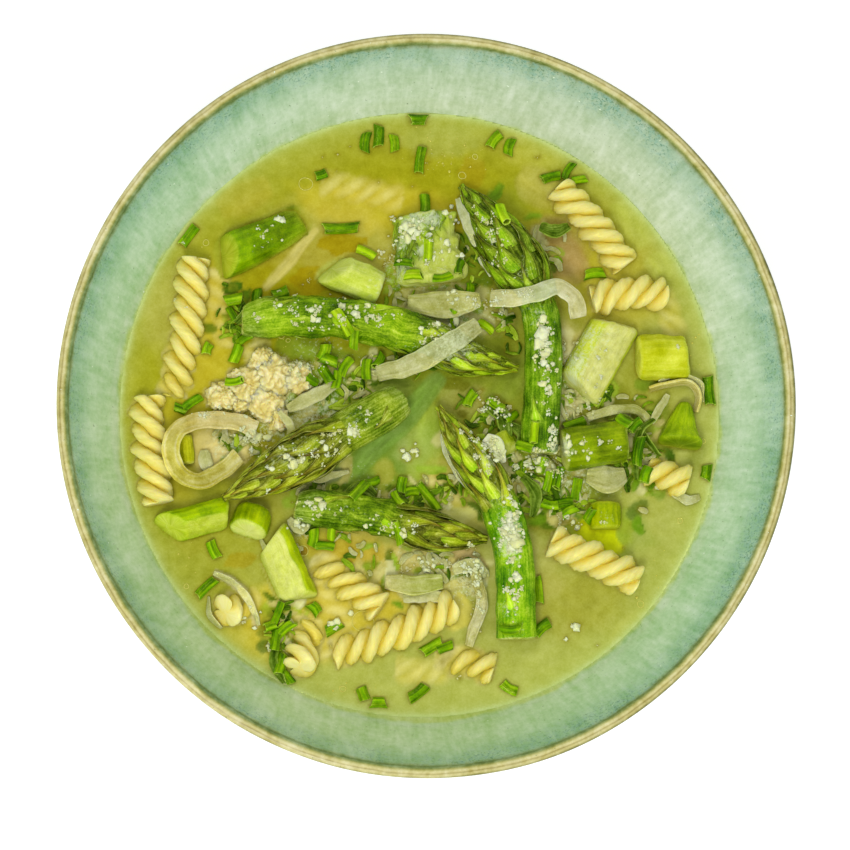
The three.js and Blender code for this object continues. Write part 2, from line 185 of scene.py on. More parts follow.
def blend(below, above, share):
    """Colours or numbers mixed by a share from 0 to 1 at each point."""
    share = np.clip(np.asarray(share, float), 0, 1)
    if np.ndim(below) or np.ndim(above):
        share = share[..., None] if np.ndim(share) else share
    return below * (1 - share) + above * share


def between(value, stops):
    """The colour at each value, from stops of (value, colour) in rising order."""
    places = [place for place, _ in stops]
    tones = np.array([srgb(*tone) for _, tone in stops])
    return np.stack([np.interp(value, places, tones[:, k]) for k in range(3)], -1)


def grid_faces(rows, columns, closed=True):
    """Squares between rows of points; closed rows run all the way round."""
    across = np.arange(columns if closed else columns - 1)
    row, column = np.meshgrid(np.arange(rows - 1), across, indexing="ij")
    row, column = row.ravel(), column.ravel()
    beside = (column + 1) % columns
    corners = [row * columns + column, row * columns + beside]
    corners += [(row + 1) * columns + beside, (row + 1) * columns + column]
    return np.stack(corners, 1)


def joined(bodies):
    """Several bodies as one: points, faces, tints, grain and cheese."""
    points, faces, tints, grains, cheese = [], [], [], [], []
    start = 0
    for body in bodies:
        count = len(body["points"])
        points.append(body["points"])
        for block in body["faces"]:
            faces.extend((np.asarray(block) + start).tolist())
        tints.append(np.broadcast_to(body["tint"], (count, 3)))
        grains.append(body.get("grain", body["points"]))
        cheese.append(np.broadcast_to(body.get("cheese", 0.0), count))
        start += count
    return np.vstack(points), faces, np.vstack(tints), np.vstack(grains), np.concatenate(cheese)


def piece(name, bodies, material, nodes=(), wet=None, film=0.9):
    """One piece of the soup, made of bodies in millimetres. Where it dips into the broth, its
    colour turns to the wet one over the height of the film."""
    points, faces, tints, grains, cheese = joined(bodies)
    if wet is not None:
        tints = blend(wet, tints, np.clip((points[:, 2] - broth_level) / film, 0, 1) ** 0.7)
    mesh = bpy.data.meshes.new(name)
    mesh.from_pydata((points * mm).tolist(), [], faces)
    tint = mesh.color_attributes.new("tint", "FLOAT_COLOR", "POINT")
    tint.data.foreach_set("color", np.hstack([tints, cheese[:, None]]).astype(np.float32).ravel())
    grain = mesh.attributes.new("grain", "FLOAT_VECTOR", "POINT")
    grain.data.foreach_set("vector", grains.astype(np.float32).ravel())
    mesh.polygons.foreach_set("use_smooth", np.ones(len(mesh.polygons), bool))
    mesh.materials.append(material)
    made = bpy.data.objects.new(name, mesh)
    bpy.context.scene.collection.objects.link(made)
    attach(made, "root")
    if nodes:
        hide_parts(*nodes)
    return made


def round_about(sides, start=-np.pi / 2):
    """Directions round a body and back to where they start, most often its underside."""
    return np.linspace(start, start + 2 * np.pi, sides, endpoint=False)


def oval(angle):
    """How much wider than a true circle the bowl is in a direction."""
    return 1 + out_of_round * np.cos(2 * (angle - long_axis))


def inside_profile(count):
    """The inside of the wall as radius and height, from the floor up to the lip."""
    lip_inside = rim_radius - lip_width
    given = [
        (34, floor_height),
        (58, 12.5),
        (78, 23.5),
        (broth_radius, broth_level),
        (lip_inside - 5.5, bowl_height - 9.5),
        (lip_inside, bowl_height - lip_fall),
    ]
    return smooth_path(given, count)[0]


def turned(profile, turns):
    """The profile turned round the bowl's axis, a little out of round."""
    angle = round_about(turns, 0)
    radius = profile[:, :1] * oval(angle)
    height = np.broadcast_to(profile[:, 1:], radius.shape)
    return np.stack([radius * np.cos(angle), radius * np.sin(angle), height], -1).reshape(-1, 3)


class Paint:
    """A material under construction, with short ways to add the nodes it is made of."""

    def __init__(self, name):
        self.material = bpy.data.materials.new(name)
        self.material.use_nodes = True
        self.nodes = self.material.node_tree.nodes
        self.links = self.material.node_tree.links
        self.shader = self.nodes["Principled BSDF"]
        self.place = self.nodes.new("ShaderNodeTexCoord").outputs["Object"]

    def attribute(self, name, output):
        """What the mesh itself says at each place, under the given name."""
        node = self.nodes.new("ShaderNodeAttribute")
        node.attribute_name = name
        return node.outputs[output]

    def cloud(self, scale, detail, place=None, stretch=(1, 1, 1), roughness=0.5):
        """Soft noise of the given scale, from 0 to 1."""
        spread = self.nodes.new("ShaderNodeMapping")
        spread.inputs["Scale"].default_value = stretch
        self.links.new(place or self.place, spread.inputs[0])
        node = self.nodes.new("ShaderNodeTexNoise")
        node.inputs["Scale"].default_value = scale
        node.inputs["Detail"].default_value = detail
        node.inputs["Roughness"].default_value = roughness
        self.links.new(spread.outputs[0], node.inputs["Vector"])
        return node.outputs["Fac"]

    def between(self, value, low, high, to_low=0.0, to_high=1.0):
        """A value carried from one range to another, held at its ends."""
        node = self.nodes.new("ShaderNodeMapRange")
        node.inputs["From Min"].default_value = low
        node.inputs["From Max"].default_value = high
        node.inputs["To Min"].default_value = to_low
        node.inputs["To Max"].default_value = to_high
        self.links.new(value, node.inputs[0])
        return node.outputs[0]

    def feed(self, socket, value):
        """Gives a socket a number, a colour, or what another node puts out."""
        if isinstance(value, (int, float)):
            socket.default_value = value
        elif isinstance(value, np.ndarray):
            socket.default_value = (*value, 1)
        else:
            self.links.new(value, socket)

    def reckon(self, kind, first, second):
        """Works two numbers into one, in the given way."""
        node = self.nodes.new("ShaderNodeMath")
        node.operation = kind
        self.feed(node.inputs[0], first)
        self.feed(node.inputs[1], second)
        return node.outputs[0]

    def times(self, first, *others):
        """Numbers multiplied together."""
        for value in others:
            first = self.reckon("MULTIPLY", first, value)
        return first

    def mixed(self, share, below, above):
        """The upper colour laid over the lower one by a share."""
        node = self.nodes.new("ShaderNodeMix")
        node.data_type = "RGBA"
        for number, value in ((0, share), (6, below), (7, above)):
            self.feed(node.inputs[number], value)
        return node.outputs[2]

    def deepened(self, colour, power):
        """The colour made deeper where power is over 1 and paler where it is under 1."""
        node = self.nodes.new("ShaderNodeGamma")
        self.links.new(colour, node.inputs["Color"])
        self.links.new(power, node.inputs["Gamma"])
        return node.outputs[0]

    def finish(self, colour, roughness, shine, relief=None, strength=0.1, height=0.0003):
        """Gives the material its colour and its relief, and hands it over."""
        self.links.new(colour, self.shader.inputs["Base Color"])
        self.shader.inputs["Roughness"].default_value = roughness
        self.shader.inputs["Specular IOR Level"].default_value = shine
        if relief is not None:
            bump = self.nodes.new("ShaderNodeBump")
            bump.inputs["Strength"].default_value = strength
            bump.inputs["Distance"].default_value = height
            self.links.new(relief, bump.inputs["Height"])
            self.links.new(bump.outputs[0], self.shader.inputs["Normal"])
        return self.material


speckle_blue = srgb(132, 174, 154)
speckle_dark = srgb(84, 124, 92)
glaze_pit = srgb(96, 118, 74)
glaze_fleck = srgb(222, 236, 214)


def glaze():
    """Its tints are on the bowl; this adds the mottling, the blue speckle, pits and flecks.
    The tint's fourth value says how blue and speckled a place is."""
    paint = Paint("green_glaze")
    tint = paint.attribute("tint", "Color")
    band = paint.attribute("tint", "Alpha")
    run = paint.attribute("grain", "Vector")
    soft = paint.between(paint.cloud(95, 5, roughness=0.6), 0.3, 0.7, 1.24, 0.76)
    fine = paint.between(paint.cloud(620, 6, roughness=0.7), 0.34, 0.66, 1.16, 0.86)
    runs = paint.between(paint.cloud(0.5, 4, run, roughness=0.6), 0.3, 0.7, 1.2, 0.8)
    power = paint.times(soft, fine, runs)
    colour = paint.deepened(tint, power)
    bluish = paint.cloud(620, 5, roughness=0.75)
    patchy = paint.between(paint.cloud(70, 4), 0.34, 0.56, 0.15, 1.0)
    blue_share = paint.between(bluish, 0.44, 0.6)
    blue_share = paint.times(patchy, band, blue_share)
    colour = paint.mixed(blue_share, colour, speckle_blue)
    dots = paint.between(paint.cloud(1400, 4, roughness=0.7), 0.53, 0.63)
    dots = paint.times(patchy, band, dots)
    colour = paint.mixed(dots, colour, speckle_dark)
    pits = paint.between(paint.cloud(1150, 2), 0.3, 0.24)
    colour = paint.mixed(paint.times(pits, 0.6), colour, glaze_pit)
    flecks = paint.between(paint.cloud(800, 1), 0.79, 0.81)
    colour = paint.mixed(flecks, colour, glaze_fleck)
    return paint.finish(colour, 0.3, 0.25, paint.cloud(420, 3), 0.1, 0.0004)


clay_bare = srgb(178, 152, 118)
# the lip's own brown lines across it, with a painted highlight along its crown and painted shade at its
# outer edge
lip_lines_and_shading = [
    (106.6, (120, 142, 88)),
    (107.1, (136, 146, 80)),
    (107.45, (172, 170, 98)),
    (107.9, (202, 197, 138)),
    (108.3, (200, 192, 132)),
    (108.6, (156, 146, 84)),
    (108.85, (190, 182, 122)),
    (109.3, (194, 188, 128)),
    (109.65, (150, 146, 82)),
    (110.1, (106, 108, 52)),
]
glaze_tones = [
    (38, (180, 202, 154)),
    (44, (188, 211, 174)),
    (50, (186, 210, 175)),
    (54, (176, 203, 168)),
    (57.5, (164, 195, 162)),
    (59.6, (160, 190, 156)),
    (60.9, (142, 146, 92)),
]
outside_tones = [
    (4, (120, 150, 108)),
    (20, (158, 188, 146)),
    (62, (150, 180, 134)),
]
lip_brown = srgb(150, 136, 80)
broth_film = srgb(188, 206, 118)
pale_band_tone = srgb(198, 214, 184)


def bowl_tints(points, profile_radius, outer):
    """The colour of each point of the bowl, and how blue and speckled it is there."""
    angle = np.arctan2(points[:, 1], points[:, 0])
    height = points[:, 2]
    round_place = np.stack([np.cos(angle), np.sin(angle), height / 60], 1)
    wander = unevenness(round_place, 0.05, 3)
    inner = between(height + 0.5 * wander, glaze_tones)
    lines = np.sin(height * 3.1 + 4 * unevenness(round_place, 0.6, 8))
    inner = inner * (1 + 0.012 * lines)[:, None]
    # painted light and shade: the glaze is painted bluer towards the top of the picture and redder along one
    # diameter, for how the light falls round the wall
    reds = 1.0 + 0.065 * np.cos(2 * (angle - math.radians(62))) + 0.036 * np.sin(angle)
    blues = 0.95 + 0.11 * np.cos(angle - math.radians(75))
    greens = 1.02 - 0.03 * np.cos(angle - math.radians(45))
    inner = inner * np.stack([reds, greens, blues], 1)
    film_reach = 0.9 - 0.9 * np.cos(angle - math.radians(75))
    film_reach += 1.2 * unevenness(round_place, 0.16, 5) + 0.9 * unevenness(round_place, 0.04, 6)
    above_edge = height - broth_level
    # a paler band a little above the broth's edge
    pale_band_above_edge = np.exp(-(((above_edge - film_reach - 1.6) / 1.1) ** 2))
    inner = blend(inner, pale_band_tone, 0.35 * pale_band_above_edge)
    inner = blend(broth_film, inner, smooth_step(above_edge, film_reach - 0.7, film_reach + 0.7))
    outside_tone = between(height, outside_tones)
    lip_drop = smooth_step(height + 0.5 * wander, 57.6, 60.4)
    outside_tone = blend(outside_tone, lip_brown, lip_drop)
    bare = smooth_step(height + 1.2 * wander, foot_height + 1.6, foot_height - 0.2)
    outside_tone = blend(outside_tone, clay_bare, bare)
    tint = blend(inner, outside_tone, outer)
    on_lip = (height > bowl_height - lip_fall - 0.8) & (profile_radius > rim_radius - lip_width - 0.1)
    lip_place = profile_radius + 0.22 * wander + 0.12 * unevenness(round_place, 0.3, 9)
    lip_place += 0.45 * np.cos(angle - math.radians(25))
    # the lip's lines, its painted highlight and its painted shade across it
    streaked = between(lip_place, lip_lines_and_shading) * (1 + 0.14 * unevenness(round_place, 0.02, 4))[:, None]
    tint = blend(tint, streaked, on_lip)
    band = smooth_step(height, 51, 59.5) * (0.8 + 0.2 * np.cos(angle - math.radians(40)))
    band = np.where(on_lip, 0.0, np.where(outer > 0.5, 0.3, band))
    return tint, band


outside = smooth_path(
    [
        (foot_radius + 1, foot_height - 1),
        (63, 6.5),
        (82.2, 17),
        (broth_radius + wall_thickness, broth_level - 4.5),
        (rim_radius - lip_width - 1.2, bowl_height - 14),
        (rim_radius, bowl_height - lip_fall),
    ],
    44,
)[0]
lip_turn = np.linspace(0, np.pi, 28)[1:-1]
lip_across = rim_radius - lip_width / 2 + lip_width / 2 * np.cos(lip_turn)
lip = np.stack([lip_across, bowl_height - lip_fall + lip_fall * np.sin(lip_turn)], 1)
foot_edge = 0.6
foot = np.array(
    [
        (0.5, floor_height - wall_thickness),
        (foot_radius - foot_width - 2.5, floor_height - wall_thickness),
        (foot_radius - foot_width - 1.2, floor_height - wall_thickness - 0.8),
        (foot_radius - foot_width, foot_edge),
        (foot_radius - foot_width + foot_edge, 0),
        (foot_radius - foot_edge, 0),
        (foot_radius, foot_edge),
    ]
)
bowl_floor = np.array([(17, floor_height - floor_dip * 0.8), (0.5, floor_height - floor_dip)])
inside = inside_profile(110)[::-1]
inside = inside[(inside[:, 1] > broth_level - 2) | (np.arange(len(inside)) % 5 == 0)]
bowl_profile = np.vstack([foot, outside, lip, inside, bowl_floor])
outer_rows = np.arange(len(bowl_profile)) < len(foot) + len(outside)
bowl_points = turned(bowl_profile, bowl_turns)
radius_there = np.repeat(bowl_profile[:, 0], bowl_turns)
outer_there = np.repeat(outer_rows, bowl_turns)
bowl_colours, bowl_band = bowl_tints(bowl_points, radius_there, outer_there.astype(float))
near_lip = np.clip((bowl_points[:, 2] - 40) / 22, 0, 1)
bowl_points[:, 2] += 0.25 * near_lip * unevenness(bowl_points * (1, 1, 0), 60, 2)
bowl_points[:, :2] *= 1 + 0.002 * (near_lip * unevenness(bowl_points * (1, 1, 0), 45, 5))[:, None]
bowl_ends = np.array([[0, 0, bowl_profile[0, 1]], [0, 0, bowl_profile[-1, 1]]])
turn_list = np.arange(bowl_turns)
beside_list = (turn_list + 1) % bowl_turns
last_row = (len(bowl_profile) - 1) * bowl_turns
bowl_count = len(bowl_points)
foot_fan = np.stack([np.full(bowl_turns, bowl_count), beside_list, turn_list], 1)
floor_fan = np.stack([np.full(bowl_turns, bowl_count + 1), last_row + turn_list, last_row + beside_list], 1)
# the grain runs straight down the wall, wound on one circle from the foot to the lip
bowl_run = np.repeat(np.arange(len(bowl_profile)) * 0.2, bowl_turns)
bowl_grain = np.stack([bowl_points[:, 0], bowl_points[:, 1], bowl_run], 1)
bowl_grain[:, :2] *= 95 / np.linalg.norm(bowl_grain[:, :2], axis=1)[:, None]
bowl_body = dict(
    points=np.vstack([bowl_points, bowl_ends]),
    grain=np.vstack([bowl_grain, bowl_ends]),
    faces=[grid_faces(len(bowl_profile), bowl_turns), foot_fan, floor_fan],
    tint=np.vstack([bowl_colours, [clay_bare, srgb(*glaze_tones[0][1])]]),
    cheese=np.append(bowl_band, [0, 0]),
)
piece("glazed_bowl", [bowl_body], glaze(), ["bowl"])

# The pasta is short and twisted: three plump blades wound left-handed round a thin core and
# cut square at both ends. It is boiled soft, creamy at the crests, and yellow in the grooves
# and wherever the broth still wets it.
pasta_radius = 5.3
pasta_core = 2.1
pasta_pitch = 16.5
# the grooves are yellower, and are also painted as light as the crests: painted light in them that makes up
# for their shade
pasta_crest = srgb(228, 219, 138)
pasta_flank = srgb(230, 217, 112)
pasta_groove_lightened = srgb(236, 214, 72)
pasta_end = srgb(240, 234, 172)
wet_sheen = (1.0, 1.0, 0.2, 1)
wet_gold = srgb(208, 188, 54)
melted_cheese = srgb(212, 222, 176)


def laid_along(path, places, across, rise, ahead=0.0):
    """Points beside a path: places run from 0 to 1 along it, each with its own row."""
    forward = np.gradient(path, axis=0)
    forward /= np.linalg.norm(forward, axis=1)[:, None]
    left = np.cross([0, 0, 1], forward)
    left /= np.linalg.norm(left, axis=1)[:, None]
    upward = np.cross(forward, left)
    steps = np.linspace(0, 1, len(path))

    def at(values):
        return np.stack([np.interp(places, steps, values[:, k]) for k in range(3)], -1)

    across, rise, ahead = (np.asarray(value)[..., None] for value in (across, rise, ahead))
    return at(path) + at(left) * across + at(upward) * rise + at(forward) * ahead


def stations(length, step, bevel=0.4):
    """Places along a body and how far its section is drawn in there, so that both ends close."""
    body = np.linspace(bevel / length, 1 - bevel / length, max(4, int(length / step)))
    near = [(0, 0.3), (0, 0.6), (0.06, 0.8), (0.25, 0.91), (0.6, 0.975)]
    near = [(place * bevel / length, drawn) for place, drawn in near]
    rows = near + [(place, 1) for place in body] + [(1 - place, drawn) for place, drawn in near[::-1]]
    return np.array(rows).T


def skin_faces(rows, sides):
    """The faces of a closed body made of rings of points, with a flat face at each end."""
    first = np.arange(sides)[::-1][None]
    last = (np.arange(sides) + (rows - 1) * sides)[None]
    return [grid_faces(rows, sides), first, last]


def above_broth(points):
    """Points given by their height above the broth, as points in the bowl."""
    return np.asarray(points, float) + (0, 0, broth_level)


def unrolled(along, beside, apart=0.0):
    """A body's skin laid out flat: how far along it, how far round it, and what sets it apart."""
    return np.stack(np.broadcast_arrays(along, beside, apart), -1).reshape(-1, 3)


def pasta_body(points, turn=0.0, seed=0, sides=60, step=0.45, radius=pasta_radius):
    """One twist: three blades round a core, wound along the path and uneven all over."""
    path, length = smooth_path(above_broth(points), 60)
    places, drawn = stations(length, step, 0.7)
    place, angle = np.meshgrid(places, round_about(sides, 0), indexing="ij")
    wobble = np.array([noise.noise((seed * 3.3, 5 * p, 0.5)) for p in places])[:, None]
    swell = np.array([noise.noise((seed * 1.7, 9 * p, 7.5)) for p in places])[:, None]
    wound = turn - place * length * 2 * np.pi / pasta_pitch + 0.3 * wobble
    from_crest = np.abs((angle * 3 / (2 * np.pi) + 0.5) % 1 - 0.5) * 2
    blade_size = 1 + 0.09 * np.sin(np.floor(angle * 3 / (2 * np.pi) + 0.5) * 2.1 + 6 * place + seed)
    blade = (1 - from_crest**2.6) ** 0.9
    crease = np.exp(-(((from_crest - 0.42) / 0.09) ** 2))
    reach = pasta_core + (radius * blade_size * (1 + 0.05 * swell) - pasta_core) * blade - 0.14 * crease
    notch = 1 - 0.05 * np.exp(-((((place * length / 2.6 + wobble) % 1 - 0.5) / 0.16) ** 2)) * blade
    reach = reach * drawn[:, None] * notch
    body = laid_along(path, place, reach * np.cos(angle + wound), reach * np.sin(angle + wound))
    body = body.reshape(-1, 3)
    body += 0.2 * unevenness(body, 3.2, seed)[:, None]
    body += 0.07 * unevenness(body, 1.1, seed + 4)[:, None]
    crest = blade.ravel() * (0.88 + 0.2 * unevenness(body, 5, seed + 3))
    # painted light: the grooves take the lightened groove colour
    tint = blend(pasta_groove_lightened, pasta_flank, crest / 0.6)
    tint = blend(tint, pasta_crest, (crest - 0.55) / 0.4)
    from_end = np.minimum(place, 1 - place).ravel() * length
    tint = blend(tint, pasta_end, 0.5 * np.exp(-from_end / 0.8))
    grain = unrolled(place * length, angle * 5, seed * 9)
    return dict(points=body, faces=skin_faces(len(places), sides), tint=tint, grain=grain)


def boiled(name, roughness=0.35, mottle=0.18, streak=0.0, speck=0.1, glow=0.0, shine=0.3, relief=0.15):
    """Wet boiled food: its own tint, mottled and streaked along its grain. The tint's fourth
    value says how much of it is under a film of melted cheese."""
    paint = Paint(name)
    tint = paint.attribute("tint", "Color")
    cheese = paint.attribute("tint", "Alpha")
    grain = paint.attribute("grain", "Vector")
    broad = paint.between(paint.cloud(0.3, 4, grain), 0.3, 0.7, 1 - mottle, 1 + mottle)
    fine_cloud = paint.cloud(1.7, 6, grain, roughness=0.7)
    fine = paint.between(fine_cloud, 0.35, 0.65, 1 - speck, 1 + speck)
    lines_cloud = paint.cloud(1.0, 3, grain, (0.09, 1.5, 1))
    lines = paint.between(lines_cloud, 0.32, 0.68, 1 - streak, 1 + streak)
    power = paint.times(broad, fine, lines)
    colour = paint.deepened(tint, power)
    curds = paint.cloud(0.8, 6, grain, roughness=0.75)
    share = paint.between(paint.reckon("ADD", curds, paint.times(cheese, 0.42)), 0.74, 0.9)
    share = paint.times(share, 0.75)
    colour = paint.mixed(share, colour, melted_cheese)
    paint.shader.inputs["Specular Tint"].default_value = wet_sheen
    if glow:
        paint.shader.inputs["Subsurface Weight"].default_value = glow
        paint.shader.inputs["Subsurface Radius"].default_value = (1.0, 0.8, 0.3)
        paint.shader.inputs["Subsurface Scale"].default_value = 0.0024
    height = paint.reckon("ADD", fine_cloud, paint.times(lines_cloud, streak * 2))
    return paint.finish(colour, roughness, shine, height, relief, 0.0004)


pasta_list = [
    ([(-69.8, 45, 1.2), (-71.3, 24, 0.2), (-75, 3, -3.6)], 0),
    ([(-83, 2.6, -0.4), (-82, -14, 0.8), (-79, -29.8, 1.4)], 0.6),
    ([(41.4, 69.8, 0.6), (52.3, 58.3, 1.2), (62.3, 45.6, 0.8)], 1.1),
    ([(51.8, 34.6, 0), (62, 37.2, 1.4), (74.8, 37.4, 0.6)], 0.3),
    ([(-32.5, -46.5, -5), (-22, -53.3, -1.4), (-12.6, -59.8, 0.9)], 1.6),
    ([(-26.6, -74.2, -2.6), (-9, -67.8, 0.2), (9.5, -58.8, -0.6)], 0.2),
    ([(38.4, -39.4, 1.6), (51, -44.6, 2.4), (65, -51, 1.2)], 0.9),
    ([(4.5, -75.2, -5.2), (13.5, -76, -3), (21.6, -78.2, -1.5)], 0.5),
    ([(-51.5, -57.2, -7.5), (-56, -60, -2.6), (-59.2, -62.1, 2.4)], 1.4),
    ([(-34.2, -64, -5.4), (-35.6, -71.8, -1.2), (-37.2, -78.2, 3.2)], 0.7),
    ([(69, -17.3, -1.8), (75, -19.2, 0), (81, -21.2, 0.6)], 0.7),
]
boiled_pasta = boiled(
    "boiled_pasta", roughness=0.2, mottle=0.12, streak=0.05, speck=0.12, glow=0.6, relief=0.2
)
pieces = []
dipped = []
for number, (points, turn) in enumerate(pasta_list, 1):
    body = pasta_body(points, turn, number)
    dipped.append(body)
    node = f"pasta_{number:02d}"
    pieces.append(piece(f"twisted_{node}", [body], boiled_pasta, [node], wet_gold, film=3.4))

# The asparagus spears are boiled whole: an even, faintly ribbed stalk with a bract lying on it
# here and there, and a head of long pointed scales, dark at their edges, that close over one
# another to a tip. Grated cheese has melted on them in patches.
wet_green = srgb(122, 144, 24)
spear_cut = srgb(196, 208, 96)
bract_edge = srgb(206, 204, 120)
dark_edge = srgb(58, 56, 8)
dissolved = srgb(146, 170, 62)
golden_angle = math.radians(137.5)

# where grated cheese has melted: place, reach and how much
cheese_patches = [
    (35.6, 18, 5, 0.6), (36, 9, 4, 0.35), (34, 28, 5, 0.5), (30, 42, 6, 0.5), (22, 54, 7, 0.4),
    (15, 64, 5, 0.35), (-4, 54, 6, 0.4), (-4, 56.6, 2.6, 0.8), (2.8, 57, 2.8, 0.7), (-8, 50, 2.6, 0.6),
    (-1, 47.4, 2, 0.8), (4, 45, 7, 0.5), (0, 60, 6, 0.5), (-8, 42, 5, 0.8), (-40, 28, 6, 0.15),
    (-28, 30, 5, 0.4), (-16, 29, 5, 0.35), (0, 23, 6, 0.15), (12, 18, 7, 0.45), (22, 15, 6, 0.35),
    (-20, -4, 6, 0.45), (-28, -9, 6, 0.35), (-36, -14, 6, 0.5), (-44, -18, 6, 0.5), (-52, -23, 5, 0.3),
    (-34, -29, 4, 0.35), (-25, -32, 6, 0.4), (-14, -34, 6, 0.35), (-4, -36, 6, 0.4), (8, -38, 5, 0.25),
    (25, -36, 4.4, 1.0), (25, -43, 4.4, 0.9), (25.4, -50, 3, 0.4), (22, -27, 5, 0.6),
    (18, -17, 4.5, 0.8), (12, -9, 4, 0.3), (39, -6.6, 3.4, 0.4), (38.4, -12, 3.6, 0.5),
    (24, -60, 5, 0.6), (28, -67, 4, 0.4), (-15, 36.6, 6, 0.5), (-25, 41, 4, 0.35), (-52, 49, 6, 0.3),
    (52, 18, 8, 0.4), (57, 25, 6, 0.4), (46, 15, 4, 0.7), (49, 24, 4, 0.5), (44.6, 8, 4, 0.9),
    (77, 20, 2.4, 0.7), (50, -10, 6, 0.15), (42, -12, 3, 0.8), (-42, -46, 8, 0.4), (55, -34, 4, 0.5),
    (4, 32, 8, 0.35), (14, 30, 6, 0.5), (-8, 13, 8, 0.5), (6, 18, 8, 0.5), (26, 33, 8, 0.3),
    (-50, -8, 6, 0.7), (-60, -4, 6, 0.4),
]


def cheese_cover(points):
    """How much melted cheese lies at each point, on the upper sides alone."""
    cover = np.zeros(len(points))
    for x, y, reach, amount in cheese_patches:
        apart = (points[:, 0] - x) ** 2 + (points[:, 1] - y) ** 2
        cover += amount * np.exp(-apart / reach**2)
    return np.minimum(cover, 1.1) * smooth_step(points[:, 2] - broth_level, 0.6, 2.6)


def spear_reach(stalk, head, neck):
    """The spear's radius along it: even stalk, swelling head, closing tip."""
    widest = 0.3

    def reach(place):
        along = np.maximum(0, (place - neck) / (1 - neck))
        swell = stalk + (head - stalk) * smooth_step(along, 0, widest)
        closing = np.clip((along - widest) / (1 - widest), 0, 1)
        return np.maximum(0.7, swell * (1 - closing**1.7) ** 0.85)

    return reach


def bract(path, length, reach, place, angle, size, width, bulge, lift, tones, squash=1.0, seed=0):
    """One pointed scale lying along the stalk, thick in the middle, thin and dark at its edges."""
    along = np.linspace(0, 1, 10)
    edge = np.linspace(0, 2 * np.pi, 16, endpoint=False)
    row, turn = np.meshgrid(along, edge, indexing="ij")
    shape = np.maximum(0.03, (1 - row) ** 0.85 * (0.72 + 0.42 * np.sin(np.pi * np.minimum(1, row * 1.7))))
    risen = smooth_step(row, 0.0, 0.55)
    where = np.clip(place + row * size / length, 0, 1)
    base = np.maximum(reach(where), 0.9)
    spread = np.cos(turn) * np.minimum(width / 2 * shape / base, 1.7)
    spread = spread + 0.12 * np.sin(4 * row + seed)
    keel = bulge * shape * np.maximum(0, np.sin(turn)) ** 0.8
    outer = base + lift * row**1.5 + keel * risen - 0.5 * (1 - risen)
    outer = np.where(turn > np.pi, outer - 0.35 * shape, outer)
    points = laid_along(path, where, outer * np.cos(angle + spread), outer * np.sin(angle + spread) * squash)
    points = points.reshape(-1, 3)
    foot, middle, tip, margin = tones
    row, out = row.ravel(), np.abs(np.cos(turn)).ravel()
    tint = blend(foot, middle, row / 0.35)
    # a painted highlight along the middle of each scale, where its keel catches the light
    tint = blend(tint, middle * 1.55, 0.7 * np.exp(-((out / 0.3) ** 2)) * smooth_step(row, 0.05, 0.4))
    tint = blend(tint, tip, smooth_step(row, 0.45, 0.95))
    tint = blend(tint, margin, np.exp(-(((out - 0.8) / 0.13) ** 2)) * 0.95)
    tint = blend(tint, blend(middle, bract_edge, 0.4), smooth_step(out, 0.93, 0.995) * 0.7)
    vein = 0.5 + 0.5 * np.cos(turn.ravel() * 9)
    tint = tint * (0.86 + 0.24 * vein)[:, None]
    grain = unrolled(row * size, np.cos(turn.ravel()) * width / 2, seed * 5)
    faces = skin_faces(len(along), len(edge))
    return dict(points=points, faces=faces, tint=tint, grain=grain, cheese=cheese_cover(points) * 0.9)


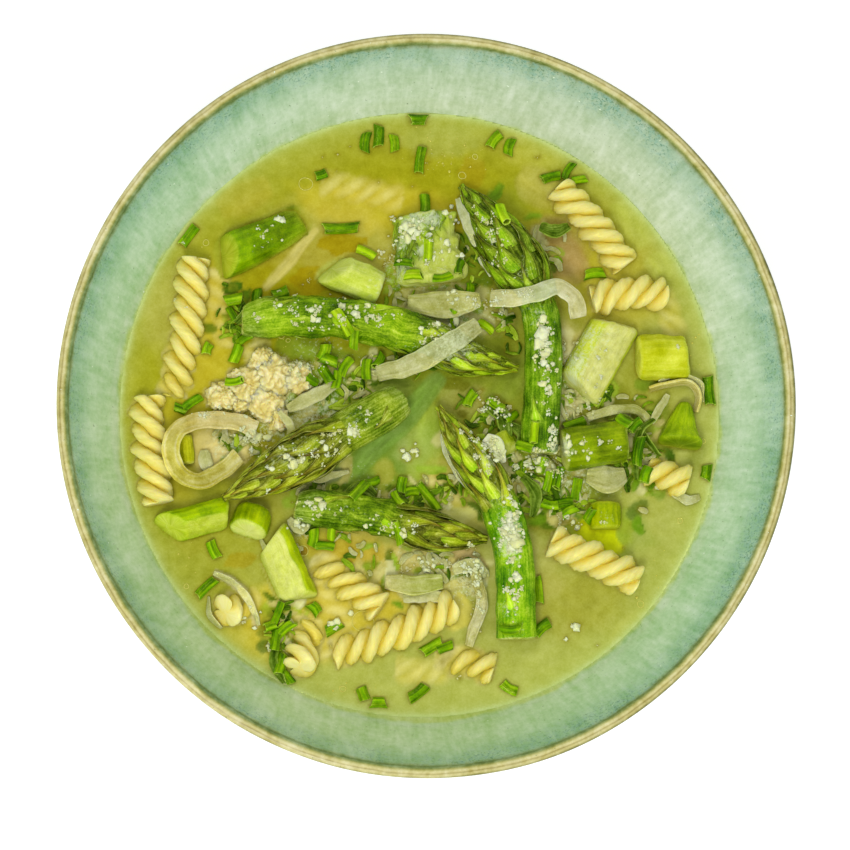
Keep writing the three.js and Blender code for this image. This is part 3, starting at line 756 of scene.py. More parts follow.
def spear_bodies(points, stalk, head, neck, looks, squash=1.0, foot=1.0, ragged=0.3, seed=1):
    """The stalk and head of one spear, with its bracts and scales."""
    low, high, scale, tip = (srgb(*tone) for tone in looks)
    draw = np.random.default_rng(seed)
    path, length = smooth_path(above_broth(points), 80)
    reach = spear_reach(stalk, head, neck)
    places, drawn = stations(length, 0.7, 0.8)
    sides = 44
    around = round_about(sides)
    place, angle = np.meshgrid(places, around, indexing="ij")
    headed = smooth_step(place, neck - 0.03, neck + 0.1)
    ribs = 0.11 * np.cos(13 * angle + 3 * np.sin(4 * place)) * (1 - headed)
    radius = (reach(place) * (1 - 0.07 * headed) + ribs) * drawn[:, None]
    from_foot = np.clip(place * length / (1.3 * stalk), 0, 1)
    radius *= blend(foot, 1.0, 1 - (1 - from_foot) ** 2)
    body = laid_along(path, place, radius * np.cos(angle), radius * np.sin(angle) * squash).reshape(-1, 3)
    body += ragged * unevenness(body, 5, seed)[:, None]
    body += 0.4 * ragged * unevenness(body, 1.6, seed + 7)[:, None]
    patch = 0.5 + 1.1 * unevenness(body, 8, seed + 2) + 0.16 * np.cos(13 * angle).ravel()
    tint = blend(low, high, patch)
    # painted shade: the stalk under the head is painted dark, so the gaps between its scales look shaded
    tint = blend(tint, scale * 0.4, headed.ravel() * 0.9)
    tint = blend(tint, dissolved, 0.7 * np.exp(-place.ravel() * length / 4) * (foot < 1))
    inward = (drawn[:, None] * np.ones(sides)).ravel()
    first = (place.ravel() < 0.5) & (inward < 0.93)
    rays = (0.85 + 0.12 * np.cos(11 * angle.ravel()) + 0.08 * inward)[:, None]
    tint = np.where(first[:, None], spear_cut * rays, tint)
    grain = unrolled(place * length, angle * stalk, seed * 7)
    faces = skin_faces(len(places), sides)
    bodies = [dict(points=body, faces=faces, tint=tint, grain=grain, cheese=cheese_cover(body))]

    def add(where, turn, size, width, bulge, lift, tones):
        shade = draw.uniform(0.55, 1.6)
        tones = [tone * shade for tone in tones]
        made = bract(path, length, reach, where, turn, size, width, bulge, lift, tones, squash, len(bodies))
        if made["points"][:, 2].max() > broth_level - 0.5:
            bodies.append(made)

    where, turn = 0.07, 1.1
    while where < neck - 0.06:
        size = draw.uniform(9, 12)
        add(where, turn, size, stalk * 0.95, 0.4, ragged + 0.1, (low, high, scale, scale * 0.55))
        where += draw.uniform(12, 15) * (0.45 if ragged > 0.4 else 1) / length
        turn += golden_angle
    where = neck - 0.05
    while where < 0.965:
        near_tip = (where - neck) / (1 - neck)
        size = 14.5 - 6.5 * near_tip + draw.uniform(-1.2, 1.2)
        width = float(reach(where)) * 0.74 + 0.9
        warm = blend(tip, tip * (1.25, 0.85, 0.8), draw.uniform())
        body_tone = blend(scale, high, 0.45 * draw.uniform())
        bulge = 0.5 + 0.3 * draw.uniform()
        lift = 0.6 * draw.uniform()
        add(where, turn, size, width, bulge, lift, (high, body_tone, warm, dark_edge))
        where += (0.95 - 0.3 * near_tip) / length
        turn += golden_angle
    return bodies


boiled_spear = boiled(
    "boiled_asparagus_skin", roughness=0.17, mottle=0.36, streak=0.34, speck=0.3, glow=0.1, relief=0.6
)
spear_list = [
    dict(
        points=[(34.6, -13, 3.2), (36, 10, 4.4), (35, 31, 4.6), (24.3, 51, 4.2), (11.4, 69.5, 1.6)],
        stalk=5.7, head=9.0, neck=0.5, squash=0.86,
        looks=((58, 104, 0), (122, 166, 16), (109, 138, 12), (84, 94, 8)),
    ),
    dict(
        points=[
            (-55, 25.8, 3.4), (-35, 27.4, 4), (-15, 25.4, 3.6),
            (0, 21.4, 3.4), (12, 16, 3.2), (28.6, 12.8, 2.8),
        ],
        stalk=6.2, head=6.2, neck=0.62, foot=0.62, ragged=0.8,
        looks=((78, 120, 0), (144, 182, 16), (144, 168, 20), (112, 120, 8)),
    ),
    dict(
        points=[(-6.4, 2.8, 3.6), (-20, -5.4, 4.4), (-37, -15.6, 5.4), (-60.2, -28.6, 7.6)],
        stalk=6.4, head=8.0, neck=0.32, foot=0.72, ragged=0.5,
        looks=((92, 124, 6), (152, 174, 38), (134, 142, 22), (104, 96, 12)),
    ),
    dict(
        points=[(-38.4, -29.6, 2), (-15, -32.4, 2.8), (4, -37.4, 3), (19, -39.2, 2.4)],
        stalk=5.6, head=6.3, neck=0.5, foot=0.66, ragged=0.7,
        looks=((64, 104, 0), (122, 156, 8), (128, 134, 20), (88, 78, 12)),
    ),
    dict(
        points=[(27.4, -69.2, 4.2), (26.4, -42, 4.6), (20.2, -24.5, 4.8), (11.4, -11, 4), (4.2, 0.8, 2.6)],
        stalk=5.9, head=6.3, neck=0.52,
        looks=((76, 138, 2), (144, 192, 14), (154, 164, 36), (124, 114, 26)),
    ),
]
for number, spear in enumerate(spear_list, 1):
    bodies = spear_bodies(**spear, seed=number)
    dipped.append(bodies[0])
    node = f"asparagus_spear_{number:02d}"
    pieces.append(piece(f"boiled_{node}", bodies, boiled_spear, [node], wet_green, film=1.2))

# The thicker ends of the stalks are sliced at a slant into chunks. Their skin is green to
# yellow-green, and the cut faces are pale and wet, with a darker ring just under the skin.
wet_lime = srgb(150, 162, 30)
head_radius = 10.6
pale_line = (0.75, -0.65, 32.5)
head_scales = 44
bract_tones = [srgb(170, 196, 66), srgb(136, 168, 30), srgb(120, 146, 22), srgb(70, 94, 8)]


def past_line(points, line):
    """How far points lie past a line seen from above."""
    return points[..., 0] * line[0] + points[..., 1] * line[1] + line[2]


def cut_body(
    points, radius, skin, face, start=(0, 0), end=(0, 0), squash=1.0, taper=1.0,
    flat=None, lumpy=0.13, pale_side=None, seed=1,
):
    """One cut length: start and end slant its ends, and flat slices one side off along a line."""
    path, length = smooth_path(above_broth(points), 30)
    places, drawn = stations(length, 0.6, 1.7)
    sides = 52
    around = round_about(sides)
    place, angle = np.meshgrid(places, around, indexing="ij")
    inward = drawn[:, None] * np.ones(sides)
    reach = radius * blend(1.0, taper, place) + 0.12 * np.cos(14 * angle) * (inward == 1)
    across = reach * np.cos(angle) * inward
    rise = reach * np.sin(angle) * squash * inward
    sliced = np.zeros_like(across)
    if flat:
        over = across * flat[0] + rise * flat[1] - flat[2]
        over = 0.5 * (over + np.hypot(over, 1.5)) - 0.2
        across -= over * flat[0] * 0.85
        rise -= over * flat[1] * 0.85
        sliced = smooth_step(over, 0.5, 1.3)
    share = np.abs(place - 0.5) * 2
    lean = np.where(place < 0.5, start[0] * across + start[1] * rise, end[0] * across + end[1] * rise)
    body = laid_along(path, place, across, rise, lean * share).reshape(-1, 3)
    body += 0.4 * unevenness(body, 5, seed)[:, None]
    body += lumpy * unevenness(body, 1.8 + lumpy, seed + 2)[:, None]
    low, high, face = (srgb(*tone) for tone in (*skin, face))
    patch = 0.5 + 1.0 * unevenness(body, 6, seed + 4) + 0.16 * np.cos(14 * angle.ravel())
    tint = blend(low, high, patch)
    if pale_side:
        side = past_line(body, pale_side) + 2 * unevenness(body, 3, seed + 6)
        tint = blend(tint, face, 0.9 * smooth_step(side, -1, 4))
    on_face = np.maximum((inward.ravel() < 0.97), sliced.ravel())
    ring = smooth_step(inward.ravel(), 0.6, 0.9) * (1 - sliced.ravel())
    pale = face * (0.95 + 0.16 * unevenness(body, 1.6, seed + 9))[:, None]
    pale = blend(pale, blend(face, high, 0.6), ring * 0.7)
    tint = blend(tint, pale, on_face)
    grain = unrolled(place * length, angle * radius, seed * 7)
    faces = skin_faces(len(places), sides)
    return dict(points=body, faces=faces, tint=tint, grain=grain, cheese=cheese_cover(body))


cut_list = [
    dict(
        points=[(3, 38.6, 1.6), (1.4, 49, 2), (0, 60.4, 1)],
        radius=head_radius, taper=0.86, squash=0.6, end=(0, -0.25), lumpy=1.1, pale_side=pale_line,
        skin=((108, 146, 8), (188, 208, 66)), face=(190, 200, 92),
    ),
    dict(
        points=[(-60.6, 45.4, 1.2), (-48, 51.6, -0.8), (-35.5, 58.6, -4.2)],
        radius=6.6, start=(0.35, 0.5), end=(0, -0.8), taper=0.8,
        skin=((92, 124, 0), (132, 172, 2)), face=(182, 192, 46),
    ),
    dict(
        points=[(-28, 42.2, 1.8), (-13, 36.6, 1.4)],
        radius=5.5, start=(0.5, 0.7),
        skin=((192, 208, 72), (208, 220, 108)), face=(204, 216, 100),
    ),
    dict(
        points=[(65.2, 17.2, 1.6), (81.4, 17.6, 1.2)],
        radius=6.9, end=(-0.1, -0.2),
        skin=((184, 192, 10), (212, 218, 62)), face=(206, 212, 70),
    ),
    dict(
        points=[(59, 27.6, 2), (47.4, 6.8, 1.2)],
        radius=7.4, squash=0.72, start=(-0.3, 0.2), end=(0.2, -0.4), flat=(0.35, 0.94, 3.4), lumpy=0.3,
        skin=((176, 192, 10), (200, 212, 60)), face=(212, 214, 122),
    ),
    dict(
        points=[(41.8, -11.8, 3), (61.6, -8.6, 2.4)],
        radius=6.5, end=(0.1, 0),
        skin=((92, 116, 0), (140, 166, 6)), face=(190, 196, 92),
    ),
    dict(
        points=[(78.2, -9.8, 1.2), (80, 3.6, 1.4)],
        radius=7.4, taper=0.22, squash=0.8, start=(0, 0.4),
        skin=((116, 148, 4), (158, 186, 10)), face=(104, 132, 8),
    ),
    dict(
        points=[(-58.6, -32, 0.8), (-75.4, -36.8, 2.6)],
        radius=5, end=(-0.7, -0.8), start=(0.3, 0), flat=(0.72, 0.69, 3.2),
        skin=((112, 148, 0), (160, 192, 0)), face=(190, 205, 60),
    ),
    dict(
        points=[(-50.6, -31.2, -0.6), (-52.6, -38, 2.6)],
        radius=5.7,
        skin=((124, 150, 0), (168, 194, 0)), face=(218, 226, 118),
    ),
    dict(
        points=[(-45.6, -39.6, 1), (-37.6, -57.6, 0.6)],
        radius=6.2, start=(-0.6, 0), end=(0.3, -0.3), flat=(-0.6, 0.8, 2.4),
        skin=((138, 166, 0), (184, 204, 8)), face=(216, 222, 112),
    ),
    dict(
        points=[(55.2, -27.2, 0.8), (55.4, -35.4, 0.6)],
        radius=4.7,
        skin=((136, 160, 0), (166, 180, 0)), face=(182, 196, 44),
    ),
    dict(
        points=[(22.6, -7.4, -0.4), (26, -12.4, 1.2)],
        radius=3.7, end=(0, -0.4),
        skin=((156, 178, 20), (182, 200, 44)), face=(196, 208, 84),
    ),
    dict(
        points=[(-71.8, -8.8, 0.6), (-70.8, -17.6, 0.4)],
        radius=2.4,
        skin=((168, 176, 6), (190, 192, 24)), face=(200, 204, 84),
    ),
]
boiled_cut = boiled(
    "boiled_asparagus_cut", roughness=0.16, streak=0.1, speck=0.16, glow=0.3, shine=0.25, relief=0.35
)
# how high the broth films them: the second slants under it, and others lie low in it
sunk_cuts = {2: 3.2, 5: 2.0, 7: 2.2, 10: 1.8, 11: 2.0}
cut_slots = ["head", "green", "pale", "yellow", "pale", "green", "green"]
cut_slots += ["pale", "pale", "pale", "yellow", "yellow", "yellow"]


def head_reach(place):
    """The radius of the cut head end, a little less towards its tip."""
    return head_radius - 1.4 * place


for number, (cut, cut_slot) in enumerate(zip(cut_list, cut_slots), 1):
    bodies = [cut_body(**cut, seed=number + 20)]
    dipped.append(bodies[0])
    if number == 1:
        path, length = smooth_path(above_broth(cut["points"]), 30)
        draw = np.random.default_rng(7)
        for scale in range(head_scales):
            place = draw.uniform(0.42, 0.98)
            turn = draw.uniform(0.2, 2.95)
            shade = draw.uniform(0.6, 1.4)
            shaded = [tone * shade for tone in bract_tones]
            size = draw.uniform(-8, -6)
            width = draw.uniform(2.6, 5.2)
            made = bract(path, length, head_reach, place, turn, size, width, 0.9, 1.3, shaded, 0.6, scale)
            if past_line(made["points"].mean(0), pale_line) < 0:
                bodies.append(made)
    node = f"asparagus_cut_{number:02d}"
    film = sunk_cuts.get(number, 1.4)
    pieces.append(piece(f"boiled_{node}", bodies, boiled_cut, [node], wet_lime, film))

# The onion was sliced into strips and boiled soft and half clear, with fine lines along it.
# Some strips have curled into a ring or an arch, and others hang over the spears.
onion_thickness = 1.1
wet_onion = srgb(178, 170, 62)
onion_lines = srgb(232, 230, 196)
broth_below = srgb(150, 150, 50)
sight_below = 7


def rotated(first, second, turn):
    """A pair of coordinates turned about the place they are measured from."""
    cos, sin = np.cos(turn), np.sin(turn)
    return first * cos - second * sin, first * sin + second * cos


def onion_body(points, width, tones, roll=0.0, waves=0.0, wave=0.0, shape=None, stripes=5.0, seed=1):
    """One strip or sheet of onion, fine-lined and frayed along its edges."""
    path, length = smooth_path(above_broth(points), 60)
    places, drawn = stations(length, 0.6, 0.3)
    around = round_about(40, 0)
    place, angle = np.meshgrid(places, around, indexing="ij")
    side = np.sign(np.cos(angle)) * np.abs(np.cos(angle)) ** 0.55
    face = np.sign(np.sin(angle)) * np.abs(np.sin(angle)) ** 0.55
    inward = blend(0.55, 1.0, drawn)[:, None]
    fullness = shape(place) if shape else 1.0
    spots = unrolled(place * length, side * 9)
    frayed = 1 + 0.14 * unevenness(spots, 4, seed).reshape(place.shape)
    across = side * width / 2 * fullness * inward * frayed
    ripple = wave * np.sin(waves * 2 * np.pi * place + 1.1 * side)
    lines = 0.09 * np.sin(side * stripes * np.pi + 0.6 * np.sin(9 * place)) * (np.abs(side) < 0.93)
    rise = face * (onion_thickness / 2 + lines) * drawn[:, None] + ripple
    body = laid_along(path, place, *rotated(across, rise, roll)).reshape(-1, 3)
    body += 0.25 * unevenness(body, 4, seed + 6)[:, None]
    count = len(tones)
    at = np.clip(place.ravel() * (count - 1), 0, count - 1.0001)
    tones = np.array([srgb(*tone) for tone in tones])
    tint = blend(tones[at.astype(int)], tones[at.astype(int) + 1], at % 1)
    line = 0.5 + 0.5 * np.sin(side.ravel() * stripes * np.pi + 0.6 * np.sin(9 * place.ravel()))
    soft = unevenness(unrolled(place * length / 5, side * 5), 1, seed + 3)
    tint = tint * (0.84 + 0.22 * soft)[:, None]
    tint = blend(tint, onion_lines, 0.5 * line**3 * (0.7 + 0.6 * soft))
    # painted highlight: each strip is painted lighter along its edges
    rim = smooth_step(np.abs(side).ravel(), 0.8, 1.0)
    tint = blend(tint, tint * 1.5, rim * 0.8)
    grain = unrolled(place * length, side * width / 2, seed * 5)
    faces = skin_faces(len(places), len(around))
    return dict(points=body, faces=faces, tint=tint, grain=grain, cheese=cheese_cover(body))


def petal(place):
    """How much of its width a sheet has at each place: all in the middle, half at its ends."""
    return 0.35 + 0.65 * np.sin(np.pi * np.clip(0.08 + 0.84 * place, 0, 1))


def ribbon(place):
    """How much of its width a strip has at each place: a little less towards its ends."""
    return 0.75 + 0.25 * np.sin(np.pi * place)


onion_list = {
    "onion_ring": dict(
        points=[
            (-50.4, -7.2, 2.8), (-57, -4.8, 2.6), (-66, -4.6, 3), (-73.4, -7.4, 4.6), (-76, -13.4, 6.4),
            (-74, -19.6, 5.4), (-68, -23, 3), (-60.6, -19.6, 1.8), (-55.4, -15, 1.8),
        ],
        width=5.2,
        tones=[(244, 224, 168), (238, 214, 146), (222, 204, 84), (206, 192, 66), (228, 212, 118)],
    ),
    "onion_strip_over_spear": dict(
        points=[(-14, 10.8, 1), (-6.4, 12.2, 5), (0.4, 14.8, 10), (7.6, 19.2, 10.8), (16, 25.6, 5.8)],
        width=6.6, shape=ribbon, wave=0.3, waves=1, stripes=7,
        tones=[(204, 206, 142), (210, 212, 158), (200, 206, 142), (206, 210, 148)],
    ),
    "onion_arch": dict(
        points=[
            (19.8, 33.4, 6.2), (26.2, 33.1, 10.8), (33.1, 34.5, 11.8),
            (40, 36.9, 9.8), (45.2, 34, 7.4), (46.8, 28.6, 4.8),
        ],
        width=5.2, stripes=6,
        tones=[(214, 212, 150), (242, 240, 190), (246, 248, 206), (240, 234, 190), (228, 222, 174)],
    ),
    "onion_sheet": dict(
        points=[(-5, 32.6, 2), (6, 32, 3), (17, 33.6, 3.4)],
        width=8.4, shape=petal, wave=0.5, waves=1.3, stripes=6,
        tones=[(194, 198, 120), (200, 202, 130), (196, 198, 120)],
    ),
    "onion_striped": dict(
        points=[(-11.6, -52.2, 1.2), (-3, -53.2, 2.4), (5.6, -52, 1.8)],
        width=5.8, shape=ribbon, wave=0.3, waves=1, stripes=8,
        tones=[(204, 196, 134), (184, 194, 102), (160, 180, 78)],
    ),
    "onion_petal": dict(
        points=[(49.6, -19.4, 1.4), (56, -20.4, 2.2), (61.6, -18.6, 1.2)],
        width=8.2, shape=petal, wave=0.4, waves=0.8,
        tones=[(178, 184, 112), (196, 198, 140), (186, 190, 128)],
    ),
    "onion_shred": dict(
        points=[(14.2, -45.6, 1.2), (16.2, -52, 2.6), (17.4, -59, 2), (15, -66, 1.6), (13.6, -71, 0.8)],
        width=3.6, shape=ribbon,
        tones=[(178, 170, 84), (186, 180, 110), (216, 210, 170), (196, 190, 120)],
    ),
    "onion_curl": dict(
        points=[(69.4, 7.6, 0.4), (75.6, 9.2, 2), (81.6, 9.4, 2.6), (84.4, 5.6, 2), (83.6, 1, 1)],
        width=3, roll=1.2,
        tones=[(214, 194, 86), (228, 214, 124), (222, 206, 130)],
    ),
    "onion_thread": dict(
        points=[(50, -1.6, 1.2), (58, 0.8, 2.6), (65.6, 0.8, 1.8), (69.6, -3, 0.8)],
        width=2.8,
        tones=[(178, 182, 120), (182, 188, 112), (160, 170, 80)],
    ),
}
boiled_onion = boiled(
    "boiled_onion", roughness=0.1, mottle=0.26, streak=0.07, speck=0.16, glow=0.2, shine=0.5, relief=0.5
)
down = Vector((0, 0, -1))


def painted_surface(bodies):
    """The outsides of the bodies together, to look at from above, and the colour of each face."""
    points, faces, tints, _, _ = joined(bodies)
    return BVHTree.FromPolygons(points.tolist(), faces), tints[[face[0] for face in faces]]


below, below_tones = painted_surface(dipped)


def half_clear(body, share):
    """Lets what lies under a thin piece show through it by the given share."""
    under = np.tile(broth_below, (len(body["points"]), 1))
    for k, point in enumerate(body["points"]):
        _, _, face, _ = below.ray_cast(Vector(point) + onion_thickness * down, down, sight_below)
        if face is not None:
            under[k] = below_tones[face]
    body["tint"] = blend(body["tint"], under, share)
    return body


for number, (name, strip) in enumerate(onion_list.items(), 1):
    body = half_clear(onion_body(**strip, seed=number + 40), 0.4)
    dipped.append(body)
    pieces.append(piece(f"boiled_{name}", [body], boiled_onion, [name], wet_onion, film=0.8))

# Thin scraps lie among the larger pieces: pale onion skins, torn bits of asparagus skin and
# the dark green leaf of the leek or chive, all boiled limp.
scrap_sides = 10


def scrap_body(points, width, tone, edge_tone, thickness=0.5, roll=0.0, seed=1):
    """One limp, torn scrap, cupped a little and paler or darker at its edges."""
    path, length = smooth_path(above_broth(points), 40)
    places, drawn = stations(length, 0.9, 0.4)
    around = round_about(scrap_sides)
    place, angle = np.meshgrid(places, around, indexing="ij")
    side = np.sign(np.cos(angle)) * np.abs(np.cos(angle)) ** 0.6
    face = np.sin(angle)
    fullness = 0.35 + 0.65 * np.sin(np.pi * np.clip(place * 0.9 + 0.06, 0, 1)) ** 0.7
    spots = unrolled(place * length, side * 4)
    torn = 1 + 0.3 * unevenness(spots, 3, seed).reshape(place.shape)
    across = side * width / 2 * fullness * torn * blend(0.5, 1.0, drawn)[:, None]
    cup = 0.08 * width * side**2
    rise = face * thickness / 2 * drawn[:, None] + cup
    body = laid_along(path, place, *rotated(across, rise, roll)).reshape(-1, 3)
    body += 0.3 * unevenness(body, 3, seed + 3)[:, None]
    tint = blend(tone, edge_tone, smooth_step(np.abs(side).ravel(), 0.55, 1.0))
    tint = tint * (0.88 + 0.2 * unevenness(spots * (0.3, 2, 1), 1.5, seed + 5))[:, None]
    grain = unrolled(place * length, side * width / 2, seed * 5)
    return dict(points=body, faces=skin_faces(len(places), scrap_sides), tint=tint, grain=grain)


skin_tone = srgb(198, 200, 142)
skin_edge = srgb(222, 222, 172)
leaf_tone = srgb(64, 96, 8)
leaf_edge = srgb(140, 170, 50)
plain = (skin_tone, skin_edge)
whitish = (srgb(206, 214, 170), srgb(224, 230, 196))
milk_white = (srgb(236, 240, 204), srgb(246, 248, 222))
# where each scrap lies, its width, its roll and, for the pale ones, its looks
pale_scraps = [
    ([(10.5, 65.4, 1.8), (12.2, 59, 4), (14, 54, 4.4), (15.9, 50.2, 3)], 3.2, 0.4, whitish),
    ([(16.9, 47.2, 2.6), (19, 44.6, 3), (20.7, 41.4, 1.6)], 2.6, 0.4, whitish),
    ([(75, 6, 1.4), (72.4, 2, 2.4), (69.6, -3, 2)], 2.6, 0, plain),
    ([(72, 10, 1.6), (78, 12, 3), (84.6, 9.4, 2.6), (86, 4, 1)], 2.2, 0.8, plain),
    ([(-62.6, -50, 0.4), (-56, -53.4, 1.6), (-51.4, -59.4, 1.4), (-49, -65.4, 0.2)], 2.4, 0.4, plain),
    ([(-64, -57, 0.4), (-63.4, -63, 1.2), (-60, -66.4, 0.4)], 2.0, 0.9, plain),
    ([(-66, -13.4, 0.6), (-65.2, -17.2, 0.9), (-63.8, -20, 0.4)], 4.2, 0, plain),
    ([(-46, 57.6, 0.3), (-43, 57.2, 0.8), (-41.6, 55.8, 0.3)], 2.2, 0, plain),
    ([(-48.6, -39.6, 0.4), (-46.6, -44, 0.9), (-44.6, -47.6, 0.4)], 1.8, 0.7, plain),
    ([(6.8, -4, 0.6), (6.6, -10.6, 1.4), (11, -19.4, 1.8), (15.4, -25, 1)], 3.2, 0.3, whitish),
    ([(18, -8.8, 6.2), (21.4, -11.6, 6.2), (23, -16.4, 5.4)], 5.4, 0, milk_white),
    ([(33.4, -12.6, 1.2), (37.6, -17, 1.6), (41, -21.6, 0.8)], 4.6, 0, plain),
    ([(-43.6, -1.6, 3.6), (-40, -7, 4), (-41.6, -11.6, 3)], 2.8, 0.3, plain),
    ([(-41, -0.6, 1.4), (-34, 3, 1.8), (-26, 7.6, 1.2)], 4.6, 0, plain),
    ([(-29, -14, 2.6), (-33, -21.4, 2.2), (-22.4, -19, 1)], 2.6, 0, plain),
    ([(-6, -57, 0.6), (1, -56, 1.2), (8, -57.6, 0.8)], 4.4, 0, plain),
    ([(9, -48.4, 1.2), (14, -47, 2.2), (19, -49.4, 1)], 5.0, 0, plain),
    ([(-40.4, -33.6, 0.8), (-37, -37, 1.8), (-34.6, -33.6, 1)], 3.4, 0, plain),
    ([(76, -24, 0.4), (80.6, -26.4, 0.9), (84.4, -25.4, 0.4)], 3.2, 0, plain),
]
green_scraps = [
    ([(59.6, -1, 2.4), (63, -3.4, 3.4), (67, -7, 3)], 3.2, 0.5),
    ([(70.4, -2, 2.4), (66, -5.4, 3.6), (64.6, -12, 3), (65, -20.4, 1)], 2.6, 0.6),
    ([(66, -4, 3.2), (68.6, -9, 3), (72.4, -13, 1.6)], 2.2, 0.9),
    ([(35.6, 57, 2.6), (40, 55.4, 3), (44.6, 57.6, 1.6)], 4.6, 0),
    ([(-57, 25, 2.4), (-51, 30.6, 2.8), (-44, 33, 2)], 3.4, 0),
    ([(-43.6, -69.4, 0.8), (-44.6, -76, 1.6), (-41.4, -82.4, 0.8)], 2.6, 0.5),
    ([(-34, -4.6, 3.4), (-38.6, -9.6, 4), (-41.6, -12.4, 3.6)], 3.0, 0),
    ([(19, 2, 1), (24, -2, 2), (25.4, -8.6, 1.4)], 4.6, 0),
    ([(26.4, -4, 1), (30, -7, 1.6), (29, -12, 1)], 3.6, 0),
    ([(30, -20, 0.8), (34, -25, 1.4), (33, -32, 0.6)], 4.0, 0),
    ([(-24, -27, 1.6), (-19, -24, 2.4), (-14.4, -26, 1.6)], 4.2, 0),
]
skins = []
for seed, (points, width, roll, looks) in enumerate(pale_scraps, 89):
    skin = half_clear(scrap_body(points, width, *looks, roll=roll, seed=seed), 0.35)
    skin["cheese"] = cheese_cover(skin["points"])
    skins.append(skin)
leaves = []
for seed, (points, width, roll) in enumerate(green_scraps, 120):
    leaves.append(scrap_body(points, width, leaf_tone, leaf_edge, roll=roll, seed=seed))

# chopped leaf and shreds of skin that float among the pieces: middle, reach each way, number
# of green ones and of pale ones
shreds = [
    (-26, 6, 12, 7, 16, 6), (30, -22, 10, 9, 26, 8), (-8, -27, 12, 3, 12, 4), (66, -12, 8, 14, 14, 8),
    (18, -3, 8, 7, 12, 3), (-42, -67, 3, 8, 8, 2), (-2, 34, 12, 5, 6, 6), (-53, 29, 6, 5, 7, 1),
    (44, 6, 5, 12, 8, 8), (10, 44, 8, 12, 10, 3), (-56, -12, 8, 5, 1, 5), (4, -47, 16, 4, 4, 8),
    (44, -28, 9, 4, 8, 4), (38, 52, 6, 6, 1, 3), (54, 5, 6, 3, 8, 2), (25, 26, 3, 7, 8, 2),
    (-58, 24, 3, 5, 5, 0), (8, -24, 8, 5, 6, 1), (-8, 14, 12, 4, 4, 6), (-34, -24, 9, 4, 6, 3),
    (-24, -42, 12, 5, 3, 5),
]
shred_draw = np.random.default_rng(17)
greens = [srgb(52, 88, 2), srgb(88, 126, 6), srgb(124, 158, 16), srgb(158, 186, 40)]
# how many there are for each one counted, and how far they scatter within their reach
crowding = 2
scatter = 0.55


def thrown(draw, x, y, half_x, half_y, shortest, longest, curl):
    """The first end, the middle and the last end of a shred that fell by chance near a place."""
    middle = np.array([x, y]) + draw.normal(0, scatter, 2) * (half_x, half_y)
    turn = draw.uniform(0, np.pi)
    ahead = np.array([math.cos(turn), math.sin(turn)]) * draw.uniform(shortest, longest)
    bend = np.array([-ahead[1], ahead[0]]) * draw.uniform(-curl, curl)
    return middle - ahead, middle + bend, middle + ahead


for *patch, green_count, pale_count in shreds:
    for number in range(crowding * (green_count + pale_count)):
        first, middle, last = thrown(shred_draw, *patch, 0.9, 2.8, 0.5)
        rise = shred_draw.uniform(0, 0.5, 3)
        points = [(*first, rise[0]), (*middle, rise[1] + 0.2), (*last, rise[2])]
        width = shred_draw.uniform(0.7, 2.0)
        seed = int(shred_draw.integers(200, 900))
        if number < crowding * green_count:
            tone = greens[shred_draw.integers(0, 4)]
            leaves.append(scrap_body(points, width, tone, tone * 1.3, 0.35, seed=seed))
        else:
            skins.append(half_clear(scrap_body(points, width, skin_tone, skin_edge, 0.3, seed=seed), 0.4))
pieces.append(piece("thin_onion_skins", skins, boiled_onion, (), wet_onion, film=0.5))
boiled_leaf = boiled(
    "boiled_leaf", roughness=0.14, mottle=0.25, streak=0.3, speck=0.16, glow=0.12, shine=0.22, relief=0.3
)
pieces.append(piece("torn_green_leaves", leaves, boiled_leaf, (), wet_green, film=0.5))

# Much of the grated hard cheese has fallen in one place at the left, on sunk pasta, and has
# caked there into soft, creamy, granular lumps that hold together.
cheese_cream = srgb(227, 213, 142)
cheese_white = srgb(238, 230, 186)
cheese_deep = srgb(204, 182, 92)
wet_cheese = srgb(204, 190, 92)
cheese_lumps = [
    (-60.6, 3, 4.6, 4.8),
    (-53.2, 6.4, 6.4, 5),
    (-45.2, 9.6, 7, 5.6),
    (-38.6, 9, 5.2, 5),
    (-47.4, 1.4, 6, 4.6),
    (-43.6, -3.6, 3.6, 3.4),
    (-48.6, 13.8, 4.2, 4.2),
    (-55.6, 1.2, 3.6, 3.6),
]


def unit_ball(lowest, highest, rows, directions):
    """A ball of radius one, as rows of points from its lowest angle up to its highest."""
    rise, turn = np.meshgrid(np.linspace(lowest, highest, rows), directions, indexing="ij")
    level = np.cos(rise)
    return np.stack([level * np.cos(turn), level * np.sin(turn), np.sin(rise)], -1).reshape(-1, 3)


def lump(x, y, radius, height, seed):
    """One rounded, crumbly lump of caked cheese."""
    rows, sides = 44, 80
    ball = unit_ball(-np.pi / 2 + 0.12, np.pi / 2 - 0.04, rows, round_about(sides, 0))
    points = ball * (radius, radius, height) + (x, y, broth_level)
    fluff = 1.7 * np.abs(unevenness(points, 2.6, seed + 1)) + 1.2 * np.abs(unevenness(points, 1.2, seed + 4))
    rough = 1.2 * unevenness(points, 4, seed) + fluff - 0.9
    points = points + ball * rough[:, None]
    tint = blend(cheese_deep, cheese_cream, 0.25 + 0.7 * fluff)
    bright = 0.5 * fluff + 0.6 * unevenness(points, 3, seed + 5) - 0.2
    tint = blend(tint, cheese_white, bright)
    return dict(points=points, faces=skin_faces(rows, sides), tint=tint)


cake = [lump(*at, seed) for seed, at in enumerate(cheese_lumps, 60)]
dipped.extend(cake)
caked_cheese = boiled("caked_cheese", mottle=0.14, speck=0.14, glow=0.7, relief=0.2)
pieces.append(piece("caked_cheese", cake, caked_cheese, ["cheese_cake"], wet_cheese, film=1.8))

